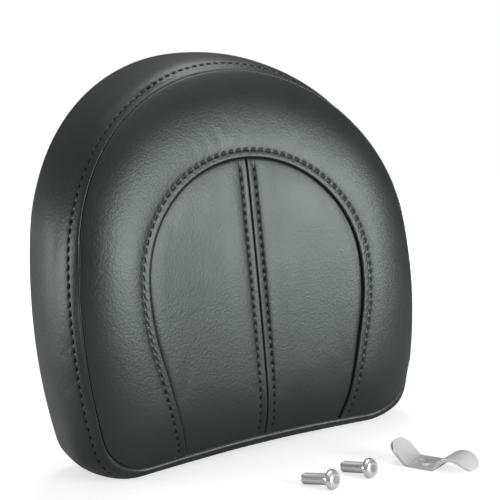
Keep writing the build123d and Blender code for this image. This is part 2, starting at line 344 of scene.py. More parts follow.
@dataclass(frozen=True)
class MouldedFinish:
    """Moulded plastic with a fine spark-eroded texture."""

    name: str
    dark: tuple[float, float, float]
    light: tuple[float, float, float]
    roughness: float = 0.5
    texture_depth: float = 0.00005
    texture_per_metre: float = 1500.0
    flow_per_metre: float = 24.0
    flow_haze: float = 0.12

    def build(self) -> bpy.types.Material:
        """Makes the material."""
        sheet = NodeSheet.named(self.name)
        texture = sheet.noise(self.texture_per_metre, 3.0, 0.6)
        flow = sheet.noise(self.flow_per_metre, 3.0)
        rough = self.roughness + (flow - 0.5) * self.flow_haze
        return sheet.finish(
            Base_Color=sheet.tint(flow, self.dark, self.light),
            Roughness=rough.clamp(),
            Normal=sheet.bump(texture, self.texture_depth),
        )


@dataclass(frozen=True)
class FoamFinish:
    """Moulded cushion foam with open cells."""

    name: str = "cushion_foam"
    dark: tuple[float, float, float] = (0.62, 0.55, 0.36)
    light: tuple[float, float, float] = (0.80, 0.74, 0.55)
    roughness: float = 0.95
    pores_per_metre: float = 1400.0
    patches_per_metre: float = 30.0
    pore_depth: float = 0.0003

    def build(self) -> bpy.types.Material:
        """Makes the material."""
        sheet = NodeSheet.named(self.name)
        pores = sheet.cells(self.pores_per_metre, "F1")
        patches = sheet.noise(self.patches_per_metre, 3.0)
        return sheet.finish(
            Base_Color=sheet.tint(patches, self.dark, self.light),
            Roughness=self.roughness,
            Normal=sheet.bump(pores, self.pore_depth),
        )


@dataclass(frozen=True)
class PlatedFinish:
    """Plated steel: bright metal with faint draw lines and handling marks."""

    name: str
    dark: tuple[float, float, float]
    light: tuple[float, float, float]
    roughness: float = 0.22
    metallic: float = 1.0
    marks_per_metre: float = 420.0
    mark_depth: float = 0.00002
    haze_per_metre: float = 90.0
    haze_share: float = 0.14

    def build(self) -> bpy.types.Material:
        """Makes the material."""
        sheet = NodeSheet.named(self.name)
        marks = sheet.noise(self.marks_per_metre, 4.0, 0.65)
        haze = sheet.noise(self.haze_per_metre, 3.0)
        rough = self.roughness + (haze - 0.5) * self.haze_share
        return sheet.finish(
            Base_Color=sheet.tint(haze, self.dark, self.light),
            Metallic=self.metallic,
            Roughness=rough.clamp(),
            Normal=sheet.bump(marks, self.mark_depth),
        )


# The pad's form


class Side(Enum):
    """A side of the pad, seen from the front."""

    LEFT = -1
    RIGHT = 1


@dataclass(frozen=True)
class PadForm:
    """Sizes and surfaces of the pad, as the CAD source has them."""

    seam_top: float = 115.8
    seam_bottom: float = -113.9
    seam_half_width: float = 114.0
    corner_radius: float = 28.9
    crown_ratio: float = 0.98
    crown_sweep: float = math.radians(81.4)
    lobe_angle: float = math.radians(3.0)
    wrap_radius: float = 390.0
    seam_depth: float = 66.5
    face_lean: float = 0.034
    top_growth: float = 20.0
    side_growth: float = 12.3
    bottom_growth: float = 5.4
    wall_swell: float = 5.4
    swell_bias: float = 0.7
    run_on: float = 3.0
    rim_round: float = 3.0
    rim_depth: float = 5.1
    crown_rise: float = 12.2
    crown_width: float = 45.2
    crown_power: int = 3
    corner_blend: float = 0.8
    corner_lift: float = 0.15
    dome_rise: float = 2.7
    arch_top: float = 61.0
    arch_radius: float = 73.0
    arch_sweep: float = math.radians(86.0)
    shoulder_radius: float = 138.7
    shoulder_sweep: float = math.radians(16.7)
    lap_step: float = 1.0
    hem_width: float = 17.0
    hem_thickness: float = 1.4
    cover_thickness: float = 3.5

    @property
    def seam_middle(self) -> float:
        """Height of the middle of the front seam."""
        return (self.seam_top + self.seam_bottom) / 2

    @property
    def seam_half_height(self) -> float:
        """Half the height of the front seam."""
        return (self.seam_top - self.seam_bottom) / 2

    def sag(self, x: Array) -> Array:
        """How far forward the bow brings a point at x."""
        return self.wrap_radius - np.sqrt(self.wrap_radius**2 - x**2)

    def side_radius(self, half_width: Array | float) -> Array | float:
        """Radius of the side arc for a half width."""
        sine = math.sin(self.crown_sweep)
        return half_width * (1 - self.crown_ratio * sine) / (1 - sine)

    def outline(
        self, station: Array, top: Array, bottom: Array, half_width: Array, corner: Array
    ) -> tuple[Array, Array, Array, Array]:
        """Points of a closed outline of crown, side, corner and base arcs.

        Args:
            station: Place on the outline: whole numbers from 0 at the top to 4 at the base for
                the right half, negative for the left.
            top: Height of the outline's top.
            bottom: Height at which the corners end.
            half_width: Half the widest width.
            corner: Radius of the corners.

        Returns:
            x, z, and the x and z of the direction that points out of the outline.
        """
        part = np.abs(station)
        crown = self.crown_ratio * half_width
        side = self.side_radius(half_width)
        sweep = self.crown_sweep
        drop = side * math.cos(sweep) + crown * (1 - math.cos(sweep)) + corner - (top - bottom)
        side_end = np.arccos(drop / (side - corner))
        sweeps = [-sweep, sweep - side_end, side_end - math.pi - self.lobe_angle, self.lobe_angle]
        # A negative radius turns to the right. The base's last arc ends on the centre line.
        radii = [-crown, -side, -corner, None]
        x, z, heading = part * 0.0, part * 0.0 + top, part * 0.0
        result = [x, z, x, x]
        for leg, (turn, radius) in enumerate(zip(sweeps, radii)):
            if radius is None:
                radius = x / math.sin(self.lobe_angle)
            centre = (x - radius * np.sin(heading), z + radius * np.cos(heading))
            angle = heading + turn * np.clip(part - leg, 0, 1)
            here = (part >= leg) & (part <= leg + 1)
            fresh = [*self.arc_point(centre, radius, angle), -np.sin(angle), np.cos(angle)]
            result = [np.where(here, a, b) for a, b in zip(fresh, result)]
            heading = heading + turn
            x, z = self.arc_point(centre, radius, heading)
        mirror = np.where(station < 0, -1.0, 1.0)
        return mirror * result[0], result[1], mirror * result[2], result[3]

    @staticmethod
    def arc_point(centre: tuple[Array, Array], radius: Array, angle: Array) -> tuple[Array, Array]:
        """x and z of an arc at a heading."""
        return centre[0] + radius * np.sin(angle), centre[1] - radius * np.cos(angle)

    def seam(self, station: Array) -> tuple[Array, Array]:
        """x and z of the front seam at stations."""
        sizes = (self.seam_top, self.seam_bottom, self.seam_half_width, self.corner_radius)
        x, z, _, _ = self.outline(station, *(np.asarray(s, float) for s in sizes))
        return x, z

    def reach(self, depth: Array, seam_at: Array, rim_at: Array, growth: float) -> Array:
        """How far the wall stands outside the seam at a depth."""
        share = (seam_at - depth) / (seam_at - rim_at)
        bulge = np.sin(math.pi * np.clip(share, 0, 1) ** self.swell_bias)
        inside = growth * share + self.wall_swell * bulge
        return np.where(share < 0, share * (growth + self.run_on * self.wall_swell), inside)

    def wall(self, station: Array, depth: Array) -> tuple[Array, Array, Array, Array]:
        """x, z and outward direction of the side wall at stations and depths."""
        half = self.seam_half_width
        top_seam = self.seam_depth - self.face_lean * self.seam_half_height
        bottom_seam = self.seam_depth + self.face_lean * self.seam_half_height
        side_seam = self.seam_depth + self.sag(np.asarray(half))
        side_rim = self.rim_depth + self.sag(np.asarray(half + self.side_growth))
        top = self.seam_top + self.reach(depth, top_seam, self.rim_depth, self.top_growth)
        low = self.reach(depth, bottom_seam, self.rim_depth, self.bottom_growth)
        wide = half + self.reach(depth, side_seam, side_rim, self.side_growth)
        corner = depth * 0 + self.corner_radius
        return self.outline(station + depth * 0, top, self.seam_bottom - low, wide, corner)

    def seam_distance(self, x: Array, z: Array) -> Array:
        """Distance inside the front seam, blended near the base."""
        crown = self.crown_ratio * self.seam_half_width
        step = self.side_radius(self.seam_half_width) - crown
        height = z - (self.seam_top - crown)
        sweep = self.crown_sweep
        over = crown - np.hypot(x, height)
        beside = crown + step - np.hypot(
            np.abs(x) + step * math.sin(sweep), height + step * math.cos(sweep)
        )
        side = np.where(np.arctan2(np.abs(x), height) < sweep, over, beside)
        base = z - self.seam_bottom
        blend = self.corner_radius * self.corner_blend
        return (side + base - np.hypot(side - base, blend)) / 2 + blend * self.corner_lift

    def face_depth(self, x: Array, z: Array) -> Array:
        """Depth of the front surface."""
        share = self.seam_distance(x, z) / self.crown_width
        roll = 1 - (1 - np.minimum(share, 1)) ** self.crown_power
        crown = self.crown_rise * np.where(share < 0, self.crown_power * share, roll)
        height = z - self.seam_middle
        spread = (x / self.seam_half_width) ** 2 + (height / self.seam_half_height) ** 2
        lean = self.seam_depth - self.face_lean * height
        return lean + self.sag(x) + crown + self.dome_rise * (1 - spread)

    def face_point(self, x: Array, z: Array, back: float = 0.0) -> Array:
        """Points on the front surface, moved back, as rows of x, y and z."""
        return np.stack([x, back - self.face_depth(x, z), z], axis=-1)

    def arch(self, run: Array) -> tuple[Array, Array]:
        """x and z of the arched seam at signed lengths along it from its top."""
        length = np.abs(run)
        over = self.arch_radius * self.arch_sweep
        down = self.shoulder_radius * self.shoulder_sweep
        turned = np.clip(length, 0, over) / self.arch_radius
        x = self.arch_radius * np.sin(turned)
        z = self.arch_top - self.arch_radius * (1 - np.cos(turned))
        more = np.clip(length - over, 0, down) / self.shoulder_radius
        start = self.arch_sweep
        x = x + self.shoulder_radius * (np.sin(start + more) - np.sin(start))
        z = z + self.shoulder_radius * (np.cos(start + more) - np.cos(start))
        rest = np.clip(length - over - down, 0, None)
        heading = start + self.shoulder_sweep
        x = x + rest * math.cos(heading)
        z = z - rest * math.sin(heading)
        return np.where(run < 0, -x, x), z

    def arch_gap(self, x: Array, z: Array) -> Array:
        """Distance outside the arched seam, negative inside it."""
        start, end = self.arch_sweep, self.arch_sweep + self.shoulder_sweep
        across = np.abs(x)
        over = np.hypot(across, z - self.arch_top + self.arch_radius) - self.arch_radius
        step = self.shoulder_radius - self.arch_radius
        centre_x = -step * math.sin(start)
        centre_z = self.arch_top - self.arch_radius - step * math.cos(start)
        down = np.hypot(across - centre_x, z - centre_z) - self.shoulder_radius
        leg_x = centre_x + self.shoulder_radius * math.sin(end)
        leg_z = centre_z + self.shoulder_radius * math.cos(end)
        leg = (across - leg_x) * math.sin(end) + (z - leg_z) * math.cos(end)
        turn = np.arctan2(across - centre_x, z - centre_z)
        first = np.arctan2(across, z - self.arch_top + self.arch_radius)
        return np.where(first < start, over, np.where(turn < end, down, leg))

    def arch_foot(self) -> tuple[float, float]:
        """Length along the arch at which it meets the base seam, and the seam's station there."""
        runs = np.linspace(0, 4 * self.arch_radius, SEARCH_POINTS)
        arch_x, arch_z = self.arch(runs)
        stations = np.linspace(3, 4, SEARCH_POINTS)
        base_x, base_z = self.seam(stations)
        level = np.interp(arch_x, base_x[::-1], base_z[::-1])
        low = int(np.argmax((arch_z < level) & (runs > self.arch_radius)))
        station = float(np.interp(arch_x[low], base_x[::-1], stations[::-1]))
        return float(runs[low]), station


@dataclass(frozen=True)
class Fold:
    """Height of a panel above its plain form at distances from a seam."""

    distances: tuple[float, ...]
    heights: tuple[float, ...]

    def height(self, distance: Array) -> Array:
        """Smooth height at distances, zero past the last."""
        xs, ys = np.asarray(self.distances), np.asarray(self.heights)
        slopes = np.gradient(ys, xs)
        slopes[-1] = 0.0
        place = np.clip(distance, xs[0], xs[-1])
        at = np.clip(np.searchsorted(xs, place, side="right") - 1, 0, len(xs) - 2)
        width = xs[at + 1] - xs[at]
        t = (place - xs[at]) / width
        first = (1 + 2 * t) * (1 - t) ** 2 * ys[at] + t * (1 - t) ** 2 * width * slopes[at]
        second = t**2 * (3 - 2 * t) * ys[at + 1] - t**2 * (1 - t) * width * slopes[at + 1]
        return first + second


FRONT_FOLD = Fold(
    (0, 0.25, 0.55, 1.0, 1.8, 3.2, 8, 16),
    (-1.7, -0.45, -0.08, 0.04, 0.08, 0.06, 0.02, 0),
)
BAND_FOLD = Fold(
    (0, 0.25, 0.55, 1.0, 1.8, 3.4, 5.0, 6.2, 7.4, 9.5, 14, 22),
    (-1.7, -0.4, -0.02, 0.1, 0.12, 0.06, -0.06, -0.16, -0.06, 0.06, 0.08, 0),
)
ARCH_FOLD = Fold(
    (0, 0.2, 0.45, 0.8, 1.4, 2.3, 3.5, 4.7, 5.9, 8.0, 12, 20, 30),
    (-1.8, -0.45, 0.04, 0.24, 0.32, 0.22, 0.04, -0.1, 0.03, 0.2, 0.25, 0.12, 0),
)
BASE_SWELL = Fold((0, 0.8, 2.2, 5, 9, 16, 30), (0, 1.6, 3.0, 3.7, 3.1, 1.4, 0))
TUCK_FOLD = Fold((0, 0.5, 1.2, 2.5, 6, 12, 22, 36), (-0.9, -0.4, -0.18, -0.05, 0.08, 0.18, 0.14, 0))
CENTRE_FOLD = Fold(
    (0, 0.2, 0.45, 0.8, 1.4, 2.3, 3.5, 4.8, 6.1, 8.4, 13, 22),
    (-2.0, -0.6, -0.05, 0.12, 0.18, 0.1, -0.06, -0.24, -0.04, 0.16, 0.18, 0),
)


def spread(width: float, near: Sequence[float], far: Sequence[float], between: int) -> Array:
    """Shares of a width for grid lines that crowd towards both of its ends.

    Args:
        width: The width, in millimetres.
        near: Distances of lines from the first end.
        far: Distances of lines from the last end.
        between: How many gaps are left between the two crowds.

    Returns:
        The shares, from 0 to 1.
    """
    first = np.asarray(near) / width
    last = 1 - np.asarray(far)[::-1] / width
    middle = np.linspace(first[-1], last[0], between + 1)[1:-1]
    return np.concatenate([first, middle, last])


def smooth_step(value: Array) -> Array:
    """A smooth rise from 0 at 0 to 1 at 1."""
    share = np.clip(value, 0, 1)
    return share * share * (3 - 2 * share)


def run_along(line: Array) -> Array:
    """Length along a line at each of its points."""
    steps = np.linalg.norm(np.diff(line, axis=0), axis=1)
    return np.concatenate([[0.0], np.cumsum(steps)])


def read_line(at: Array, run: Array, values: Array) -> Array:
    """Reads the columns of values, known at lengths run, at other lengths."""
    return np.stack([np.interp(at, run, column) for column in values.T], axis=-1)


def smooth_sample(field_grid: Array, rows: Array, columns: Array) -> Array:
    """Reads a coarse grid of numbers at fractional rows and columns, smoothly.

    Args:
        field_grid: The numbers.
        rows: Fractional row numbers.
        columns: Fractional column numbers.

    Returns:
        The values, one for each row and column pair.
    """

    def weights(t: Array) -> list[Array]:
        """Shares of the four nearest values at a fraction of a cell."""
        return [
            ((2 - t) * t - 1) * t / 2,
            ((3 * t - 5) * t * t + 2) / 2,
            ((4 - 3 * t) * t + 1) * t / 2,
            (t - 1) * t * t / 2,
        ]

    high_row, high_column = field_grid.shape[0] - 1, field_grid.shape[1] - 1
    row = np.clip(np.floor(rows).astype(int), 0, high_row - 1)
    column = np.clip(np.floor(columns).astype(int), 0, high_column - 1)
    row_weights, column_weights = weights(rows - row), weights(columns - column)
    total = np.zeros(np.broadcast(rows, columns).shape)
    for i in range(4):
        for j in range(4):
            values = field_grid[
                np.clip(row + i - 1, 0, high_row), np.clip(column + j - 1, 0, high_column)
            ]
            total += row_weights[i] * column_weights[j] * values
    return total


@dataclass(frozen=True)
class SlackCloth:
    """Cloth simulation that puffs a panel between its seams."""

    pressure: float = 2.5
    spare: float = 0.0
    stiffness: float = 12.0
    bending: float = 0.6
    point_mass: float = 0.3
    quality: int = 6
    frames: int = 20
    most: float = 0.45

    def slacken(self, name: str, rest: Array, normals: Array, pinned: Array, loop: bool) -> Array:
        """Lets a coarse panel move and measures how far it rises.

        Args:
            name: Name of the panel.
            rest: Grid of points, in millimetres.
            normals: Outward directions at those points.
            pinned: Mask of the points that the seams hold.
            loop: Whether the first and last rows are the same seam.

        Returns:
            The rise at each point, in millimetres, no more than most.
        """
        rows, columns = rest.shape[:2]
        kept = rows - 1 if loop else rows
        points = rest[:kept].reshape(-1, 3) * MM
        faces = grid_faces(kept, columns, loop)
        mesh = bpy.data.meshes.new(name + "_slack")
        mesh.from_pydata(points.tolist(), [], faces.tolist())
        obj = bpy.data.objects.new(name + "_slack", mesh)
        bpy.context.scene.collection.objects.link(obj)
        group = obj.vertex_groups.new(name="sewn")
        group.add(np.flatnonzero(pinned[:kept].ravel()).tolist(), 1.0, "REPLACE")
        cloth = obj.modifiers.new("slack", "CLOTH")
        settings = cloth.settings
        settings.quality = self.quality
        settings.mass = self.point_mass
        settings.tension_stiffness = self.stiffness
        settings.compression_stiffness = self.stiffness
        settings.shear_stiffness = self.stiffness
        settings.bending_stiffness = self.bending
        settings.shrink_min = -self.spare
        settings.use_pressure = True
        settings.uniform_pressure_force = self.pressure
        settings.vertex_group_mass = group.name
        settings.effector_weights.gravity = 0.0
        cloth.point_cache.frame_start = 1
        cloth.point_cache.frame_end = self.frames
        scene = bpy.context.scene
        for number in range(1, self.frames + 1):
            scene.frame_set(number)
        result = obj.evaluated_get(bpy.context.evaluated_depsgraph_get())
        moved = np.zeros(kept * columns * 3)
        result.data.vertices.foreach_get("co", moved)
        bpy.data.objects.remove(obj)
        bpy.data.meshes.remove(mesh)
        scene.frame_set(1)
        moved = moved.reshape(kept, columns, 3) / MM
        rise = np.sum((moved - rest[:kept]) * normals[:kept], axis=-1)
        LOG.info("%s: rise from %.2f to %.2f mm", name, rise.min(), rise.max())
        rise = self.most * np.tanh(rise / self.most)
        return np.concatenate([rise, rise[:1]]) if loop else rise


def grid_faces(rows: int, columns: int, loop: bool = False) -> Array:
    """Quads of a grid of points numbered row by row.

    Args:
        rows: Number of rows.
        columns: Number of columns.
        loop: Whether the last row joins the first.

    Returns:
        Four point numbers for each quad.
    """
    numbers = np.arange(rows * columns).reshape(rows, columns)
    if loop:
        numbers = np.concatenate([numbers, numbers[:1]])
    return np.stack(
        [numbers[:-1, :-1], numbers[1:, :-1], numbers[1:, 1:], numbers[:-1, 1:]], axis=-1
    ).reshape(-1, 4)


def make_object(name: str, points: Array, faces: Sequence[Sequence[int]]) -> bpy.types.Object:
    """A mesh object from points in millimetres, shaded smooth.

    Args:
        name: The object's name.
        points: The points.
        faces: Point numbers of each face.

    Returns:
        The object, linked to the scene.
    """
    mesh = bpy.data.meshes.new(name)
    mesh.from_pydata((np.asarray(points) * MM).tolist(), [], faces)
    mesh.validate()
    mesh.shade_smooth()
    obj = bpy.data.objects.new(name, mesh)
    bpy.context.scene.collection.objects.link(obj)
    return obj


class Axis(Enum):
    """Axis that a piece is turned about, as the order of its height and its two radial parts."""

    X = (0, 1, 2)
    Z = (2, 0, 1)


def turned(
    name: str, rings: Sequence[tuple[float, float | Array]], sides: int, axis: Axis
) -> bpy.types.Object:
    """A closed solid of rings about an axis.

    Args:
        name: The object's name.
        rings: Place along the axis and radius of each ring, or a radius for each of its points.
        sides: Number of points in a ring.
        axis: The axis.

    Returns:
        The object.
    """
    angle = np.arange(sides) * 2 * math.pi / sides
    points = np.zeros((sides, len(rings), 3))
    along, first, second = axis.value
    for number, (place, radius) in enumerate(rings):
        points[:, number, along] = place
        points[:, number, first] = radius * np.cos(angle)
        points[:, number, second] = radius * np.sin(angle)
    faces = grid_faces(sides, len(rings), True).tolist()
    numbers = np.arange(sides * len(rings)).reshape(sides, len(rings))
    faces.append(numbers[::-1, 0].tolist())
    faces.append(numbers[:, -1].tolist())
    return make_object(name, points.reshape(-1, 3), faces)


def hem_shell(
    name: str, outer: Array, inner: Array, loop: bool, outward: Callable[[Array], Array]
) -> bpy.types.Object:
    """Closed shell between an outer and an inner grid that share their border lines.

    Args:
        name: The object's name.
        outer: Outer grid of points.
        inner: Inner grid with as many rows, and as many columns where loop is false.
        loop: Whether the last row of each grid is its first row again.
        outward: Gives the outward direction wanted at a face of the outer grid.

    Returns:
        The object.
    """
    rows = outer.shape[0] - 1 if loop else outer.shape[0]
    out, inn = outer[:rows], inner[:rows]
    count = out.shape[0] * out.shape[1]
    faces = [grid_faces(rows, out.shape[1], loop)]
    faces.append(grid_faces(rows, inn.shape[1], loop)[:, ::-1] + count)
    out_number = np.arange(count).reshape(out.shape[:2])
    in_number = np.arange(inn.shape[0] * inn.shape[1]).reshape(inn.shape[:2]) + count
    edges = []
    for column in (0, -1):
        a, b = out_number[:, column], in_number[:, column]
        if loop:
            a, b = np.append(a, a[0]), np.append(b, b[0])
        quad = np.stack([a[:-1], b[:-1], b[1:], a[1:]], axis=-1)
        edges.append(quad if column == 0 else quad[:, ::-1])
    if not loop:
        for row in (0, -1):
            a, b = out_number[row], in_number[row]
            quad = np.stack([a[:-1], a[1:], b[1:], b[:-1]], axis=-1)
            edges.append(quad if row == 0 else quad[:, ::-1])
    points = np.concatenate([out.reshape(-1, 3), inn.reshape(-1, 3)])
    every = np.concatenate(faces + edges)
    middle = faces[0][len(faces[0]) // 2]
    a, b, c, _ = points[middle]
    facing = np.cross(b - a, c - a)
    if np.dot(facing, outward(points[middle].mean(0))) < 0:
        every = every[:, ::-1]
    return make_object(name, points, every.tolist())


@dataclass
class StitchRow:
    """A row of stitches along a line on a panel."""

    line: Array
    outward: Array
    end_gap: float = 0.0
    pitch: float = 5.1

    def centres(self) -> Array:
        """Lengths along the line at which stitches are centred."""
        total = run_along(self.line)[-1]
        count = max(int(round(total / self.pitch)), 1)
        spots = (np.arange(count) + 0.5) * total / count
        return spots[(spots >= self.end_gap) & (spots <= total - self.end_gap)]

    def offset(self) -> Array:
        """Distance from each point of the line to its nearest stitch, along the line."""
        run, spots = run_along(self.line), self.centres()
        at = np.clip(np.searchsorted(spots, run), 1, len(spots) - 1)
        nearer = np.where(run - spots[at - 1] < spots[at] - run, at - 1, at)
        return run - spots[nearer]

    def seats(self) -> tuple[Array, Array, Array]:
        """Place, heading and outward direction of each stitch."""
        run, spots = run_along(self.line), self.centres()
        ahead, behind = (read_line(spots + step, run, self.line) for step in (0.5, -0.5))
        return read_line(spots, run, self.line), ahead - behind, read_line(spots, run, self.outward)


@dataclass(frozen=True)
class StitchDimple:
    """How a stitch pulls the vinyl down, with a pucker on both sides."""

    depth: float = 0.75
    half_length: float = 1.4
    half_width: float = 0.6
    pucker: float = 0.16
    pucker_away: float = 1.5
    pucker_width: float = 0.7
    pucker_gap: float = 0.35

    def height(self, along: Array, across: Array) -> Array:
        """Height at distances along and across a row, negative in a dimple."""
        sunk = np.exp(-((along / self.half_length) ** 4) - (across / self.half_width) ** 2)
        beside = np.exp(-(((np.abs(across) - self.pucker_away) / self.pucker_width) ** 2))
        lifted = np.exp(-((along / self.half_length) ** 2)) - self.pucker_gap
        return self.pucker * beside * lifted - self.depth * sunk


Edge = Callable[[Array], Array]


def coons(near: Edge, far: Edge, first: Edge, last: Edge, u: Array, v: Array) -> Array:
    """Points of the patch between four edges.

    Args:
        near: Edge at v 0, a function of u.
        far: Edge at v 1, a function of u.
        first: Edge at u 0, a function of v.
        last: Edge at u 1, a function of v.
        u: Shares along near and far.
        v: Shares along first and last.

    Returns:
        x and z of the points.
    """
    zero, one = np.zeros_like(u), np.ones_like(u)
    u2, v2 = u[..., None], v[..., None]
    ruled = (1 - v2) * near(u) + v2 * far(u) + (1 - u2) * first(v) + u2 * last(v)
    corners = (
        (1 - u2) * (1 - v2) * near(zero)
        + u2 * (1 - v2) * near(one)
        + (1 - u2) * v2 * far(zero)
        + u2 * v2 * far(one)
    )
    return ruled - corners


def polyline_edge(points: Array) -> Edge:
    """Edge that runs evenly along a dense line of points."""
    run = run_along(points)
    return lambda at: read_line(at, run / run[-1], points)


def line_gap(points: Array, line: Array) -> tuple[Array, Array]:
    """Distance from points to a line of segments, and the way from each point to it.

    Args:
        points: x and z of the points.
        line: x and z along the line.

    Returns:
        The distances, and unit directions square to the nearest segment, pointing to its left.
    """
    flat = points.reshape(-1, 2)
    start, step = line[:-1], np.diff(line, axis=0)
    length2 = (step**2).sum(1)
    gap, which = np.empty(len(flat)), np.empty(len(flat), int)
    for low in range(0, len(flat), BATCH):
        part = flat[low : low + BATCH, None, :] - start[None]
        share = np.clip((part * step).sum(-1) / length2, 0, 1)
        away = ((part - share[..., None] * step) ** 2).sum(-1)
        which[low : low + BATCH] = away.argmin(1)
        gap[low : low + BATCH] = np.sqrt(away.min(1))
    normal = np.stack([-step[:, 1], step[:, 0]], axis=-1) / np.sqrt(length2)[:, None]
    return gap.reshape(points.shape[:-1]), normal[which].reshape(points.shape)


def grid_normals(points: Array, reference: Array) -> Array:
    """Unit normals of a grid of points, on the same side as reference directions."""
    normal = np.cross(np.gradient(points, axis=0), np.gradient(points, axis=1))
    normal /= np.maximum(np.linalg.norm(normal, axis=-1, keepdims=True), 1e-9)
    side = np.sign(np.sum(normal * reference, axis=-1, keepdims=True))
    return normal * np.where(side == 0, 1, side)


FRONTWARD = np.array([0.0, -1.0, 0.0])
GROOVE_FLOOR = -2.6
INNER_SKIN = 2.9
EDGE_LEAN = 2.0
EDGE_TUCK = 0.6


def lean_out(normals: Array, outward: Array, away: Array) -> tuple[Array, Array]:
    """Directions in which a panel's folds rise, which lean out of the pad at the front seam.

    Args:
        normals: Normals of the plain panel.
        outward: Directions that point out of the seam, across Y.
        away: Distances from the seam.

    Returns:
        The unit directions, and how far each leans, from 0 to 1.
    """
    lean = np.clip(1 - away / EDGE_LEAN, 0, 1)[..., None]
    direction = normals + lean * (FRONTWARD + outward - normals)
    return direction / np.linalg.norm(direction, axis=-1, keepdims=True), lean


@dataclass
class FrontPanel:
    """A panel of the front face, between four edges, with one row of stitches."""

    form: PadForm
    cloth: SlackCloth
    dimple: StitchDimple
    rows: list[StitchRow] = field(default_factory=list)
    back: float = 0.0
    held_at_base: float = 3.0

    def seam_line(self) -> Array:
        """x and z of the whole front seam, clockwise from the middle of the base."""
        return np.stack(self.form.seam(np.linspace(-4, 4, SEAM_POINTS)), axis=-1)

    def base_line(self, low: float, high: float) -> Array:
        """x and z of the front seam between two stations."""
        return np.stack(self.form.seam(np.linspace(low, high, LINE_POINTS)), axis=-1)

    def arch_line(self, low: float, high: float) -> Array:
        """x and z of the arched seam between two lengths from its top."""
        return np.stack(self.form.arch(np.linspace(low, high, LINE_POINTS)), axis=-1)

    def arch_gap(self, flat: Array) -> Array:
        """Distance outside the arched seam."""
        return self.form.arch_gap(flat[..., 0], flat[..., 1])

    def edges(self) -> tuple[Edge, Edge, Edge, Edge]:
        """The panel's four edges."""
        raise NotImplementedError

    def relief(self, flat: Array) -> Array:
        """Height of the folds at the panel's seams."""
        raise NotImplementedError

    def held(self, flat: Array) -> Array:
        """Mask of the points that the seams hold still."""
        raise NotImplementedError

    def stitch_gap(self, flat: Array) -> Array:
        """Distance from the seam that the stitches follow."""
        raise NotImplementedError

    def slack(self, name: str, cells: tuple[int, int]) -> Array:
        """Rise of the panel on a coarse grid.

        Args:
            name: The panel's name.
            cells: Number of grid points along u and v.

        Returns:
            The rise at each grid point.
        """
        u, v = np.meshgrid(*(np.linspace(0, 1, count) for count in cells), indexing="ij")
        flat = coons(*self.edges(), u, v)
        rest = self.form.face_point(flat[..., 0], flat[..., 1], self.back)
        normals = grid_normals(rest, FRONTWARD)
        return self.cloth.slacken(name, rest, normals, self.held(flat), False)

    def sew(
        self,
        name: str,
        grid: tuple[Array, Array],
        rise: Array,
        line: tuple[int, int],
        end_gap: float,
        mirror: float = 1.0,
    ) -> bpy.types.Object:
        """Folds and stitches the panel, and closes it.

        Args:
            name: The object's name.
            grid: u and v of its points.
            rise: Rise of the panel on a coarse grid.
            line: Axis of the grid that the stitched line crosses, and its number there.
            end_gap: Length at both ends of the line that has no stitches.
            mirror: -1 for a panel on the left, whose grid is made on the right.

        Returns:
            The object.
        """
        u, v = grid
        flat = coons(*self.edges(), u, v)
        last_row, last_column = rise.shape[0] - 1, rise.shape[1] - 1
        raised = self.relief(flat) + smooth_sample(rise, u * last_row, v * last_column)
        plain = self.form.face_point(flat[..., 0], flat[..., 1], self.back)
        normals = grid_normals(plain, FRONTWARD)
        axis, number = line
        turn = np.array([mirror, 1.0, 1.0])
        stitched = np.take(plain + normals * raised[..., None], number, axis)
        row = StitchRow(stitched * turn, np.take(normals, number, axis) * turn, end_gap)
        self.rows.append(row)
        along = np.expand_dims(row.offset(), axis)
        raised = raised + self.dimple.height(along, self.stitch_gap(flat))
        gap, out = line_gap(flat, self.seam_line())
        outward = np.stack([out[..., 0], np.zeros_like(gap), out[..., 1]], axis=-1)
        direction, lean = lean_out(normals, outward, gap)
        outer = plain + direction * raised[..., None]
        inner = plain - normals * INNER_SKIN - outward * lean * EDGE_TUCK
        return hem_shell(name, outer * turn, inner * turn, False, lambda _: FRONTWARD)


